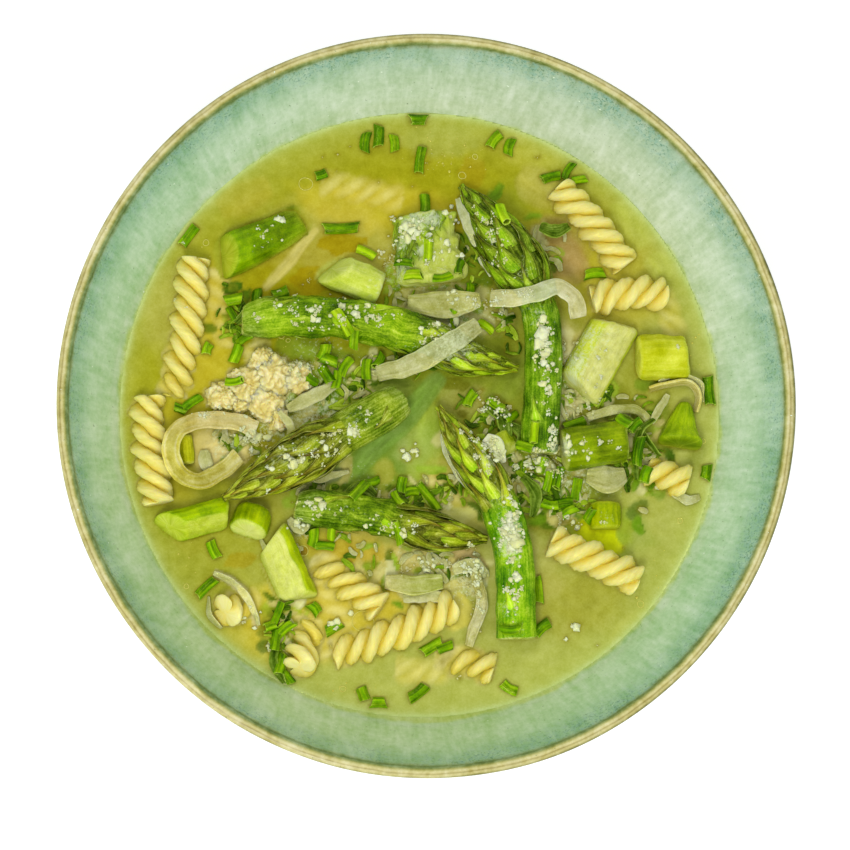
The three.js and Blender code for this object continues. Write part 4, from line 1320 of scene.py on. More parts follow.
# The chives are cut across into short hollow lengths. Some float free on the broth, and more
# have fallen on or between the spears, the cheese and the onion, and lie as those carry them.
chive_radius = 1.55
chive_wall = 0.5
chive_rise = 0.4
wet_chive = srgb(128, 150, 26)
chive_greens = [srgb(76, 122, 0), srgb(94, 140, 0), srgb(116, 160, 2), srgb(148, 186, 8)]
chive_rim = srgb(178, 206, 66)


def resting_surface(made_pieces):
    """The outsides of finished pieces together, in millimetres, to find what carries a thing."""
    points, faces, start = [], [], 0
    for made in made_pieces:
        count = len(made.data.vertices)
        own = np.empty(count * 3, np.float32)
        made.data.vertices.foreach_get("co", own)
        points.extend((own.reshape(-1, 3) / mm).tolist())
        faces.extend([[corner + start for corner in face.vertices] for face in made.data.polygons])
        start += count
    return BVHTree.FromPolygons(points, faces)


def height_at(surface, x, y):
    """How high something comes to rest at a place: on what lies there, or on the broth."""
    hit = surface.ray_cast(Vector((x, y, 90)), down)
    return max(broth_level, hit[0][2]) if hit[0] else broth_level


def chive_body(x, y, height, turn, length, green, slope=0.0, seed=1, radius=chive_radius):
    """A hollow length of chive: its outside, the cut rim, its inside and the other rim."""
    draw = np.random.default_rng(seed)
    half = length / 2
    flat = draw.uniform(0.4, 0.85)
    bend = draw.uniform(-0.5, 0.5)
    lean = draw.uniform(-0.45, 0.45, 4)
    inner = radius - chive_wall
    rows = [(-half, radius - 0.08), (-half + 0.12, radius), (-half * 0.6, radius), (0, radius * 0.96)]
    rows += [(half * 0.6, radius), (half - 0.12, radius), (half, radius - 0.08), (half, inner + 0.08)]
    rows += [(half - 0.4, inner), (0, inner * 0.9), (-half + 0.4, inner), (-half, inner + 0.08)]
    sides = 20
    ahead = np.array(rows)[:, 0][:, None]
    reach = np.array(rows)[:, 1][:, None]
    around = round_about(sides)
    dent = 1 + 0.08 * np.cos(2 * around + 6 * lean[2]) + 0.05 * np.cos(5 * around + 6 * lean[3])
    across = reach * np.cos(around) * dent
    rise = reach * np.sin(around) * flat * dent
    along = ahead + (across * lean[0] + rise * lean[1]) * ahead / half
    across = across + bend * (1 - (ahead / half) ** 2)
    level, steep = rotated(along, rise, slope)
    aside_x, aside_y = rotated(level, across, turn)
    body = np.stack([x + aside_x, y + aside_y, height + steep], -1).reshape(-1, 3)
    inside = ((reach < radius - 0.2) * np.ones(sides)).ravel()
    rim = ((np.abs(ahead) > half - 0.05) * np.ones(sides)).ravel()
    # painted highlights: four lighter bands round the tube, with darker green between them
    stripe = 0.5 + 0.5 * np.cos(around * 4 + 9 * lean[2])
    tint = green * (0.72 + 0.62 * (stripe * np.ones_like(ahead)).ravel())[:, None]
    tint = blend(tint, chive_rim, rim * 0.7)
    # painted shade: the inside of the tube is painted dark, where little light reaches
    tint = blend(tint, green * 0.4, inside * (1 - rim))
    grain = unrolled(along, around * radius, seed * 5)
    faces = grid_faces(len(rows), sides)
    join = np.arange(sides)
    beside = (join + 1) % sides
    last = (len(rows) - 1) * sides
    seam = np.stack([last + join, last + beside, beside, join], 1)
    return dict(points=body, faces=[faces, seam], tint=tint, grain=grain)


# place, turn in degrees and length of each chive that floats
floating = [
    (-17.6, 82.4, 84, 5.6), (-13.8, 84.6, 88, 6.6), (-9, 82.4, 96, 5), (-1.6, 90, 0, 5.4),
    (-0.8, 77.4, 82, 8.4), (-31.4, 72, 20, 3.6), (22.2, 84.2, 52, 5.6), (26.8, 82.2, 76, 5),
    (0.4, 63.6, 92, 5.6), (-25.2, 55.6, 4, 11), (-71.2, 52, 55, 7.4), (52.8, 43, 8, 6.4),
    (-65, 17.4, 70, 3.6), (-56.6, 16, 70, 5.2), (88, 7.6, 95, 9), (86.6, -17.6, 80, 4.6),
    (-62.6, -43, -65, 5.6), (-64.6, -54.4, 44, 7.6), (-32.6, -60.4, -50, 4.2), (-27, -65.8, 32, 5.2),
    (2.6, -71.4, 30, 7), (-1.8, -84.8, 38, 6.2), (-13.4, -88, 0, 4.6), (-18, -85.4, -70, 4),
    (26, -83.2, -30, 5.2), (-33.2, -39.2, 84, 5.2), (34.6, -54, 96, 8), (42.4, -28, 10, 7),
    (46.6, -23.4, 80, 7),
]
# place, turn in degrees, length and shade of each chive that lies on or against a piece
fallen = [
    (23.4, 59.4, -75, 7, 3), (32.6, -7.4, 85, 6.4, 3), (-25.4, 24.6, -55, 8.6, 3),
    (-21.6, 20.6, 88, 7, 2), (-8.6, -38, -70, 8, 2), (25, -66.6, 0, 6.2, 1), (0.4, 47.4, 88, 6.4, 3),
    (-6.6, 43.8, -8, 6.2, 0), (-3.8, 40, -3, 5.4, 3), (4.8, 39.6, 12, 5.6, 1), (-17.6, 48, -25, 6, 3),
    (39.5, 73, 15, 6, 1), (45, 75, 60, 6, 0), (48, 72.5, 10, 5, 2), (-58, 28, -65, 5.5, 1),
    (-50.5, 33, 85, 6, 0), (-43.5, 35, 22, 5, 1), (-54, 20.5, 30, 5.5, 1), (-57.6, 32.5, 10, 5, 2),
    (-69.5, 1, 35, 6, 1), (-73, -1, -20, 4, 1), (-57.4, 7.4, 3, 5.6, 2), (-34, 8.4, -30, 4, 1),
    (-29.5, 10, -60, 6, 1), (-26.5, 8.5, 80, 5.5, 2), (-23.5, 12.5, 60, 6, 2), (-28.5, 14.5, -20, 5, 1),
    (-17, 12, 88, 6, 2), (-13.6, 15, 60, 5, 1), (-30.5, 17, 70, 5, 2), (9, 27.4, 90, 7, 2),
    (19, 26, -35, 5, 3), (14, 37, 80, 5, 1), (10.5, 43, 75, 5, 0), (-20, -25.5, 48, 8, 2),
    (-15.5, -22, 20, 5, 1), (-27.4, -37.2, 85, 6, 3), (-29.6, -41.6, -4, 5.6, 1),
    (1.5, -26.5, -52, 10, 2), (-6.6, -23, 80, 5, 1), (-3.6, -25, 10, 5, 1), (-8, -27.4, -60, 5.5, 2),
    (46, -3.4, 20, 7, 1), (64.2, -4.2, 45, 5, 0), (65.4, -12, 82, 9, 0), (67.6, -19, 70, 5, 1),
    (-43.6, -62, 70, 7, 1), (-41, -66.5, 40, 6, 2), (-44, -70, 80, 6, 1), (-45.6, -65.6, 20, 4, 2),
    (-42.6, -77, 75, 6, 1), (-40.4, -81, -50, 4, 1), (37.6, -21, 80, 6, 2), (41, -20, 75, 7, 1),
    (44.4, -30.5, 30, 5, 2), (38.4, -28, -10, 5, 2), (35.6, -16.4, 75, 5, 2), (50.4, -31.4, 60, 5, 1),
    (35.8, -65.6, 40, 6, 1), (6.4, -71.5, 20, 5, 1), (60.4, -3, -40, 5, 1), (14.5, 3.6, 60, 5, 2),
    (22, 2, -40, 6, 2), (26.5, -1.6, 30, 5, 1), (30, -11.6, -20, 5, 2),
]
resting = resting_surface(pieces)
chive_draw = np.random.default_rng(11)
floating_bodies = []
for number, (x, y, turn, length) in enumerate(floating, 1):
    green = chive_greens[chive_draw.integers(0, 3)] * chive_draw.uniform(0.85, 1.15)
    height = broth_level + chive_rise
    floating_bodies.append(chive_body(x, y, height, math.radians(turn), length, green, seed=number))
fallen_bodies = []
for number, (x, y, turn, length, shade) in enumerate(fallen, 1):
    turn = math.radians(turn)
    reach = 0.42 * length
    far = height_at(resting, x + reach * math.cos(turn), y + reach * math.sin(turn))
    near = height_at(resting, x - reach * math.cos(turn), y - reach * math.sin(turn))
    middle = height_at(resting, x, y)
    slope = float(np.clip(math.atan2(far - near, 2 * reach), -0.5, 0.5))
    height = max(middle, (far + near) / 2) + 0.5 * chive_radius
    if middle <= broth_level:
        height = max(broth_level + chive_rise, min(height, broth_level + 1.4))
    green = chive_greens[shade] * chive_draw.uniform(0.88, 1.12)
    radius = chive_radius * chive_draw.uniform(0.75, 1.05)
    fallen_bodies.append(chive_body(x, y, height, turn, length, green, slope, number + 50, radius))
cut_chive = boiled(
    "cut_chive", roughness=0.14, mottle=0.25, streak=0.3, speck=0.12, glow=0.1, shine=0.25, relief=0.2
)
for name, bodies in (("chives_on_broth", floating_bodies), ("chives_on_pieces", fallen_bodies)):
    pieces.append(piece(name, bodies, cut_chive, (), wet_chive, film=0.4))

# The rest of the hard cheese was grated fine over the bowl. It lies as clumps of white crumbs
# on the spears, the onion and the broth, with larger curds where it has melted.
crumb_cream = srgb(214, 214, 134)
crumb_white = srgb(232, 238, 192)
# the share that is made of each number of crumbs in the list below
crumb_share = 0.62
golden_ratio = (1 + 5**0.5) / 2
crumb_points = []
for short in (-1, 1):
    for tall in (-golden_ratio, golden_ratio):
        crumb_points += [(0, short, tall), (short, tall, 0), (tall, 0, short)]
crumb_points = np.array(crumb_points) / math.hypot(1, golden_ratio)
crumb_faces = []
for i in range(12):
    for j in range(i + 1, 12):
        for k in range(j + 1, 12):
            a, b, c = crumb_points[[i, j, k]]
            sides_long = max(np.linalg.norm(a - b), np.linalg.norm(b - c), np.linalg.norm(c - a))
            if sides_long < 1.1:
                outward = np.dot(np.cross(b - a, c - a), a) > 0
                crumb_faces.append((i, j, k) if outward else (i, k, j))
crumb_faces = np.array(crumb_faces)


def crumbs(places, sizes, tones, draw, flat=0.8):
    """Small rough crumbs at the given places, all in one body."""
    count = len(places)
    stretch = draw.uniform(0.6, 1.6, (count, 1, 3)) * np.asarray(sizes)[:, None, None]
    rough = draw.uniform(0.75, 1.25, (count, 12, 1))
    turn = draw.uniform(0, 2 * np.pi, count)
    local = crumb_points[None] * stretch * rough * (1, 1, flat)
    spun = np.stack([*rotated(local[..., 0], local[..., 1], turn[:, None]), local[..., 2]], -1)
    return dict(
        points=(spun + np.asarray(places)[:, None]).reshape(-1, 3),
        faces=[(crumb_faces[None] + 12 * np.arange(count)[:, None, None]).reshape(-1, 3)],
        tint=np.repeat(np.asarray(tones), 12, axis=0),
    )


# places of loose crumbs: middle, reach each way, turn in degrees, how many and how large
sprinkled = [
    (35.6, 18, 2.8, 9.5, 0, 280, 0.27), (37, 5, 3, 5, 0, 100, 0.22), (33, -15, 6, 4, 20, 240, 0.26),
    (38.6, -8, 1.8, 4.4, 0, 70, 0.26), (25.2, -37, 4, 8, 4, 560, 0.28),
    (25.6, -56, 3.6, 7, 0, 130, 0.24), (17, -15, 3.4, 7, 25, 200, 0.24),
    (20.5, -12, 2.6, 3, 0, 90, 0.36), (-4.6, 54, 5.4, 5.4, 0, 120, 0.3), (4, 48, 6, 6, 0, 70, 0.24),
    (-10.6, 45, 3, 6, 0, 80, 0.28), (-32, 28, 16, 5, -2, 360, 0.22), (-17, 26, 10, 4, 0, 220, 0.24),
    (3, 22.4, 8, 3, 25, 100, 0.22), (20, 52, 4, 13, 22, 260, 0.22), (-38, -16, 13, 5, 30, 340, 0.2),
    (-24, -9, 9, 4, 30, 200, 0.22), (-52, -9.6, 6, 2, -20, 150, 0.26), (-50, -14, 3, 3, 0, 70, 0.26),
    (-66, -2.6, 5, 1.6, 0, 90, 0.2), (-57, -1.6, 5, 2, 0, 90, 0.24), (-30, -31, 9, 4, -10, 120, 0.22),
    (-14, -35, 9, 4, -12, 90, 0.2), (22, 0.6, 5, 4, -30, 200, 0.26), (52, 12, 6, 8, -30, 90, 0.2),
    (45.6, 2, 4, 3, 0, 110, 0.28), (51, -11, 8, 4, 8, 140, 0.2), (40, -17, 3, 5, 30, 220, 0.24),
    (44, -33, 6, 3, -10, 80, 0.24), (12, -45, 5, 5, 0, 130, 0.3), (15.6, -56, 2.4, 8, 0, 130, 0.26),
    (-5, -48, 9, 3, -6, 90, 0.22), (-49, 51, 8, 4, 25, 60, 0.2), (18, 33, 10, 3, 0, 170, 0.24),
    (30, 35, 8, 2, 0, 60, 0.2), (44, 20, 2, 8, 0, 110, 0.26), (-38, 38, 10, 5, 30, 40, 0.18),
    (-36, 12, 6, 3, 0, 160, 0.26), (-26, -66, 8, 4, 0, 14, 0.3), (66, -40, 14, 10, 0, 16, 0.22),
    (-70, 30, 8, 22, 0, 22, 0.16), (0, 76, 30, 8, 0, 40, 0.14), (-50, -62, 12, 8, 0, 16, 0.26),
    (14, -80, 26, 4, 0, 14, 0.24),
]
resting = resting_surface(pieces)
cheese_draw = np.random.default_rng(23)
spots, sizes, tones = [], [], []


def fallen_near(x, y, half_x, half_y, lean, spread):
    """A chance place in an oval patch that leans by the given degrees."""
    along, beside = cheese_draw.normal(0, spread, 2) * (half_x, half_y)
    aside_x, aside_y = rotated(along, beside, math.radians(lean))
    return x + aside_x, y + aside_y


for *patch, count, size in sprinkled:
    made = 0
    while made < int(count * crumb_share):
        clump_x, clump_y = fallen_near(*patch, scatter)
        clump = int(cheese_draw.choice([1, 3, 8, 16], p=[0.4, 0.3, 0.2, 0.1]))
        bright = cheese_draw.uniform(0.1, 1)
        for _ in range(clump):
            spot_x, spot_y = (clump_x, clump_y) + cheese_draw.normal(0, 0.16 + 0.05 * clump**0.6, 2)
            grain = size * cheese_draw.uniform(0.5, 1.5)
            height = height_at(resting, spot_x, spot_y)
            afloat = height <= broth_level
            spots.append((spot_x, spot_y, height + grain * (0.0 if afloat else 0.3)))
            sizes.append(grain * 1.1)
            tone = blend(crumb_cream, crumb_white, bright + cheese_draw.uniform(-0.2, 0.2))
            tones.append(blend(tone, wet_cheese, 0.4 if afloat else 0.0))
        made += clump
loose = crumbs(spots, sizes, tones, cheese_draw)

# the larger curds, melted at their edges: middle, reach each way, turn in degrees, how many
curd_places = [
    (35.8, 18, 2.6, 8, 0, 22), (36.6, 5, 1.6, 3, 0, 7), (25.4, -38, 2.6, 8, 4, 46),
    (26, -52, 2.2, 4, 0, 10), (20.6, -14, 2, 3, 20, 14), (-4, 54, 6, 5, 0, 26), (6, 47, 5, 5, 0, 8),
    (-22, -8, 3, 3, 30, 7), (-36, -16, 8, 3, 30, 16), (-34, -30, 4, 2, 0, 12), (-12, -37, 8, 2, -12, 8),
    (15.4, -47, 3, 4, 0, 14), (3, -46, 8, 3, -8, 12), (-28, 28, 14, 4, -2, 20), (3, 25, 10, 3, 20, 6),
    (-52, -9, 5, 2, 0, 12), (-37, -36, 3, 2, 0, 8), (9, 59, 3, 4, 20, 6), (33, -15, 4, 3, 20, 18),
    (38.6, -9, 1.6, 4, 0, 6), (-3, -13, 3.2, 2.6, 0, 5), (46, -12, 6, 4, 0, 10), (10, 34, 8, 3, 0, 8),
    (77, 20, 0.4, 0.4, 0, 2), (-44, 57, 1.4, 0.8, 0, 3), (45, -34, 5, 2, -20, 4),
    (-26, -64, 5, 3, 0, 4), (46, -66, 10, 6, 0, 4), (-50, -62, 6, 5, 0, 4),
]
curd_rows, curd_sides = 6, 9
ball = unit_ball(-1.4, 1.5, curd_rows, round_about(curd_sides))
curds = [loose]
for *patch, count in curd_places:
    for _ in range(count):
        spot = fallen_near(*patch, 0.5)
        height = height_at(resting, *spot)
        size = 0.58 * math.exp(cheese_draw.normal(0, 0.42))
        stretch = size * cheese_draw.uniform(0.7, 1.4, 3) * (1, 1, 0.55)
        shift = cheese_draw.uniform(0, 50, 3)
        lumps = 1 + 0.75 * unevenness(ball * 1.2 + shift, 1) + 0.4 * unevenness(ball * 3 + shift, 1)
        tone = blend(crumb_cream, crumb_white, cheese_draw.uniform(0.3, 1))
        points = ball * stretch * lumps[:, None] + (*spot, height + 0.1)
        curds.append(dict(points=points, faces=skin_faces(curd_rows, curd_sides), tint=tone))
grated_cheese = boiled(
    "grated_cheese", roughness=0.4, mottle=0.1, speck=0.05, glow=0.3, shine=0.25, relief=0.1
)
pieces.append(piece("grated_cheese", curds, grated_cheese))

# The broth is clear yellow-green stock, clouded by milk and cheese to the lower right. What
# has sunk shows through it, dimmer and softer the deeper it lies. It meets the wall in a soft
# edge and creeps up a little on the pieces.
broth_step = 0.62
broth_overlap = 0.5
see_through = 4.6
stain = np.array([1.0, 0.985, 0.91])
deepest = 13.0
wall_creep = 0.5
creep_height = 0.16
creep_reach = 0.6
golden = srgb(155, 153, 12)
milky = srgb(168, 173, 78)
herb = srgb(126, 142, 30)
olive = srgb(150, 153, 40)
whey = srgb(192, 184, 100)
clear_gold = srgb(158, 140, 4)
leek_green = srgb(104, 142, 40)
edge_tone = srgb(180, 192, 92)
wall_tone = srgb(188, 206, 128)
pasta_glow = srgb(204, 184, 50)
shaded_green = srgb(96, 108, 12)
lime_stock = srgb(172, 184, 14)
curd_pink = srgb(208, 194, 122)
contact_shade_gold = srgb(124, 112, 8)

# pools of other colour in it: middle, reach each way, turn in degrees, colour, how much, and
# how soft the edge is
pools = [
    (4, 2, 36, 24, 30, herb, 0.85, 0.45),
    (-26, 6, 30, 12, 10, herb, 0.75, 0.4),
    (38, -26, 20, 12, -20, herb, 0.9, 0.4),
    (20, 42, 10, 24, -20, herb, 0.6, 0.4),
    (-18, -16, 20, 10, 25, leek_green, 0.7, 0.4),
    (-72, -44, 20, 30, 20, olive, 0.9, 0.5),
    (-44, -70, 12, 12, 0, leek_green, 0.4, 0.5),
    (-28, 52, 26, 12, -12, whey, 0.4, 0.3),
    (-14, 62, 26, 8, -4, pasta_glow, 0.55, 0.4),
    (-50, 57, 14, 6, 40, olive, 0.5, 0.4),
    (-38, 42, 20, 9, 30, clear_gold, 0.4, 0.3),
    (-25, 50.7, 7.4, 3.4, 4, clear_gold, 0.95, 0.07),
    (-34, 39, 6.2, 4.4, 0, clear_gold, 0.95, 0.07),
    (-64, 22, 8, 24, -8, pasta_glow, 0.6, 0.4),
    (-28, -60, 30, 13, 18, pasta_glow, 0.75, 0.4),
    (56, 44, 14, 18, 30, pasta_glow, 0.4, 0.5),
    (54, -37, 9, 7, -10, lime_stock, 0.9, 0.3),
    (37, -33, 6, 4, 0, srgb(122, 118, 14), 0.7, 0.3),
    (-26, -42, 12, 5, -10, srgb(176, 160, 30), 0.7, 0.4),
    (-47, 66, 14, 4, 42, golden, 0.6, 0.4),
    (-44, -66, 9, 12, 0, pasta_glow, 0.5, 0.4),
    (-62, -13, 9, 7, 0, curd_pink, 0.9, 0.3),
    (48, -58, 18, 10, 0, srgb(156, 152, 40), 0.6, 0.5),
    (-74, -12, 8, 18, 0, pasta_glow, 0.35, 0.4),
    # painted shade: the next three dark pools lie in the gaps beside and under the pieces
    (25, 27, 4, 9, 0, shaded_green, 0.8, 0.3),
    (55, 6, 9, 6, 0, shaded_green, 0.85, 0.3),
    (84, -13, 2.6, 6, -15, shaded_green, 0.45, 0.4),
    (15, 74, 4, 5, 0, clear_gold, 0.7, 0.2),
    (6, 84, 12, 5, 0, milky, 0.5, 0.3),
    (-32, -4, 8, 7, 0, whey, 0.55, 0.2),
    (-32.6, -4, 3.4, 2.6, 0, srgb(110, 100, 0), 0.85, 0.12),
    (-54.6, -46, 5, 2.4, 10, clear_gold, 0.6, 0.15),
    (-36, -43, 1.4, 1.4, 0, srgb(120, 90, 10), 0.8, 0.15),
    (-18, -46, 14, 7, -12, srgb(188, 164, 46), 0.8, 0.4),
    (4, -48, 18, 8, 0, whey, 0.35, 0.4),
    (12, 30, 18, 8, 10, whey, 0.35, 0.35),
    (41, 51, 9, 10, 0, srgb(160, 142, 66), 0.9, 0.3),
    (45, 10, 5, 15, 0, curd_pink, 0.7, 0.4),
    (68, 2, 9, 16, 0, olive, 0.6, 0.35),
    (56, -36, 12, 7, -10, leek_green, 0.35, 0.4),
    (34, -48, 8, 10, 0, whey, 0.3, 0.4),
    (-76, 30, 10, 14, 0, whey, 0.4, 0.4),
    (62, -35, 2.6, 1.9, 20, olive, 0.7, 0.15),
    (13, 3, 9, 5, 0, srgb(150, 150, 68), 0.75, 0.4),
    # painted shade: the next two dark pools lie in gaps between the spears
    (9, 8.4, 6, 2, -8, srgb(102, 106, 12), 0.85, 0.2),
    (12, -1, 1.7, 1.2, 0, srgb(96, 96, 10), 0.8, 0.15),
    (-2, -12, 6, 5, 30, srgb(190, 200, 120), 0.5, 0.6),
    (4.6, -18.6, 5, 5.4, 20, srgb(176, 170, 70), 0.8, 0.25),
    (10.6, -21, 3, 6, 25, srgb(176, 172, 72), 0.8, 0.3),
    (15, -31, 4, 5, 0, srgb(176, 170, 72), 0.8, 0.3),
    (-11.6, -18.6, 3.4, 4, 0, srgb(166, 164, 60), 0.7, 0.3),
]

# where melted cheese floats on it as thin curds: place, reach and how much
curds_afloat = [
    (44, -20, 10, 0.6), (42, 2, 7, 0.8), (45, 16, 6, 0.6), (-37, -36, 5, 0.8), (-30, 2, 12, 0.45),
    (-4, -46, 16, 0.4), (14, -52, 7, 0.6), (-60, -12, 8, 0.6), (-6, 44, 10, 0.6), (12, 30, 14, 0.55),
    (18, -14, 8, 0.6), (-18, -24, 10, 0.4), (62, -20, 14, 0.35), (-44, -4, 10, 0.6), (-30, 20, 14, 0.4),
    (-32, -6, 8, 0.5), (6, 78, 16, 0.2), (0, 0, 50, 0.1),
]

# what lies wholly under the broth: pasta, then soft leaves and pieces with their width
sunk_pasta = [
    ([(-64, 42, -6.4), (-60.5, 30, -6.6), (-58, 18, -7)], 0.2, 4.6),
    ([(-31, 69.6, -7.2), (-18, 67.4, -6.6), (-6, 64.6, -7.6)], 0.9, 4.7),
    ([(2, -20, -6), (7, -27, -5.6), (12, -35, -6)], 0.4, 5),
    ([(-52, 19, -5.2), (-48, 12, -5.2), (-44, 6, -5.6)], 1.2, 4.6),
    ([(-8, -78, -6.6), (0, -79, -6.2), (8, -78, -6.4)], 0.1, 4.6),
    ([(-38, -63, -6.6), (-33, -69, -6.4), (-27, -74, -6.6)], 1.0, 4.6),
    ([(-34, -50, -7), (-28, -57, -6.4), (-22, -66, -6.8)], 0.6, 4.6),
    ([(74, 38, -6), (77, 30, -6.2), (78, 22, -6.6)], 0.6, 4.4),
]
sunk_pieces = [
    ([(60, 66, -5.4), (69, 52, -5.4)], 4.6, (190, 204, 96)),
    ([(70, 49, -5.4), (77, 42, -5.4)], 4.4, (190, 204, 100)),
    ([(30, 74, -6), (42, 66, -6)], 6.4, (196, 190, 110)),
    ([(40, 54, -4.4), (50, 41, -4.4)], 5.6, (172, 144, 92)),
    ([(3, 2, -5), (-1, -22, -5)], 5.4, (160, 188, 76)),
    ([(6, 11, -2.6), (-5, -2, -2.4), (-15, -12, -2.4), (-21, -20, -2.6)], 4.0, (122, 158, 66)),
    ([(-48, 36, -2.2), (-40, 45, -1.9), (-35, 52, -1.9), (-32, 55, -2.2)], 1.6, (206, 196, 114)),
    ([(-38, -26, -1.6), (-22, -18, -1.6)], 2.2, (150, 162, 100)),
    ([(-8, 24, -3.4), (8, 27, -3.2), (22, 27, -3.4)], 4.6, (196, 196, 140)),
    ([(-6, 36, -3.4), (10, 37, -3.2), (20, 36, -3.4)], 3.2, (196, 196, 140)),
    ([(44, 26, -3), (47, 8, -2.6), (46, -2, -3)], 4.0, (216, 216, 160)),
    ([(-10, -44, -3), (4, -46, -2.4), (16, -44, -2.6)], 3.6, (216, 206, 130)),
    ([(8, -42, -2), (14, -45, -1.7), (19, -49, -2)], 3.2, (206, 184, 124)),
    ([(8, -56, -3), (12, -66, -3.4)], 5.4, (214, 204, 96)),
    ([(-26, -32, -5), (-14, -40, -5)], 5.4, (206, 194, 96)),
    ([(-66, -13, -2.4), (-58, -12, -2), (-52, -16, -2.4)], 3.2, (220, 206, 134)),
    ([(64, 0, -2.4), (65, -12, -2), (64, -22, -2.6)], 2.6, (70, 100, 10)),
    ([(72, 4, -4), (74, -12, -4)], 4.4, (120, 146, 34)),
    ([(52, -42, -4), (58, -38, -3.4), (64, -30, -4)], 4.0, (150, 176, 50)),
    ([(51.6, -29, -3.6), (53.6, -35, -3.4), (58, -44, -3.6)], 6.6, (202, 214, 0)),
    ([(34, -22, -2.4), (42, -26, -2.2), (50, -32, -3)], 3.4, (84, 132, 40)),
    ([(30, -2, -3), (35, -10, -2.6), (38, -20, -3)], 3.4, (124, 156, 30)),
    ([(24, -10, -3), (28, -20, -2.6), (26, -28, -3)], 3.4, (104, 142, 30)),
    ([(-44, 20, -4), (-34, 17, -3.6), (-22, 14, -4)], 4.4, (110, 142, 40)),
    ([(-24, 10, -3), (-12, 6, -2.6), (0, 8, -3)], 3.6, (132, 154, 60)),
    ([(-40, -58, -5), (-44, -66, -4.6), (-44, -74, -5)], 4.4, (110, 142, 26)),
    ([(20, 62, -4), (16, 50, -3.6), (12, 38, -4)], 5.4, (112, 142, 28)),
    ([(34, 20, -3.4), (28, 10, -3), (20, 2, -3.4)], 4.4, (134, 152, 48)),
    ([(-62, -50, -2.2), (-56, -53, -1.8), (-52, -58, -1.8), (-49, -66, -2.2)], 1.4, (232, 224, 180)),
    ([(3, -31, -2.4), (10, -32, -2), (17, -30, -2.4)], 2.6, (206, 206, 120)),
    ([(72, -60, -7), (58, -72, -7)], 5.4, (200, 204, 112)),
    ([(-72, -34, -7), (-66, -44, -7)], 5.4, (166, 166, 50)),
    ([(24, 82, -7), (44, 80, -7)], 5.4, (196, 196, 80)),
    ([(-62, 60, -7), (-46, 68, -7)], 5.4, (190, 172, 60)),
]

# chopped leaf, skins and shreds that hang just under the top: middle, reach each way, number
sunk_bits = [
    (-24, 6, 14, 8, 26), (26, -18, 14, 12, 34), (-4, -26, 16, 4, 16), (66, -12, 10, 14, 24),
    (48, 8, 8, 14, 20), (6, 34, 16, 8, 18), (-54, 28, 8, 6, 10), (-42, -66, 6, 10, 14),
    (0, -48, 22, 6, 22), (-56, -12, 8, 5, 5), (40, -29, 8, 4, 10), (38, 52, 8, 8, 3),
    (-34, -24, 12, 6, 12), (18, 60, 6, 10, 8),
]


def sunk_body(points, radius, tone, seed, sides=28):
    """A soft flattened piece that is only seen through the broth."""
    path, length = smooth_path(above_broth(points), 24)
    places, drawn = stations(length, 0.9, 1.4)
    place, angle = np.meshgrid(places, round_about(sides), indexing="ij")
    fullness = (0.6 + 0.4 * np.sin(np.pi * place)) * drawn[:, None]
    swell = radius * fullness
    body = laid_along(path, place, swell * np.cos(angle), 0.45 * swell * np.sin(angle)).reshape(-1, 3)
    body += 0.6 * unevenness(body, 5, seed)[:, None] * (1, 1, 0.4)
    streaks = unevenness(unrolled(place * length / 8, 4 * np.cos(angle)), 1, seed)
    rim = smooth_step(np.abs(np.cos(angle)), 0.75, 1.0).ravel()
    tint = blend(tone * (1 + 0.35 * streaks)[:, None], tone * 1.35, 0.6 * rim)
    return dict(points=body, faces=skin_faces(len(places), sides), tint=tint)


def pool_share(x, y, pool):
    """How far each place lies in a pool with an uneven edge."""
    middle_x, middle_y, reach_x, reach_y, turn, _, share, softness = pool
    along, beside = rotated(x - middle_x, y - middle_y, -math.radians(turn))
    near = np.hypot(along / reach_x, beside / reach_y) < 1 + 2 * softness
    spots = np.stack([x, y, 0 * x + reach_x], 1)[near]
    ragged = unevenness(spots, 0.5 * reach_y + 1, 2) + 0.4 * unevenness(spots, 0.15 * reach_y + 0.5, 6)
    out = np.hypot(along[near] / reach_x, beside[near] / reach_y) + 0.3 * ragged
    found = np.zeros(len(x))
    found[near] = share * (1 - smooth_step(out, 1 - softness, 1 + softness))
    return found


def broth_top():
    """A fine grid over the broth, with its outermost points drawn onto the edge."""
    reach = broth_radius + broth_overlap
    half_count = int(reach / broth_step) + 2
    line = np.arange(-half_count, half_count + 1) * broth_step
    x, y = np.meshgrid(line, line, indexing="ij")
    limit = reach * oval(np.arctan2(y, x))
    out = np.hypot(x, y)
    inside = out < limit - 0.3 * broth_step
    kept = inside[:-1, :-1] | inside[1:, :-1] | inside[:-1, 1:] | inside[1:, 1:]
    index = np.arange(x.size).reshape(x.shape)
    faces = np.stack([index[:-1, :-1], index[1:, :-1], index[1:, 1:], index[:-1, 1:]], -1)[kept]
    share = np.where(inside, 1, limit / np.maximum(out, 1e-6))
    used, faces = np.unique(faces, return_inverse=True)
    return (x * share).ravel()[used], (y * share).ravel()[used], faces.reshape(-1, 4)


x, y, top_faces = broth_top()
flat = np.stack([x, y, 0 * x], 1)
own = blend(golden, milky, smooth_step(0.6 * x - 0.8 * y + 14 * unevenness(flat, 22, 1), -50, 55))
for pool in pools:
    own = blend(own, pool[5], pool_share(x, y, pool))
swirls = 0.6 * unevenness(flat * (1, 1.6, 1) + 3 * unevenness(flat, 9, 3)[:, None], 5, 4)
own = own * (1 + 0.09 * swirls + 0.05 * unevenness(flat, 2.2, 6))[:, None]

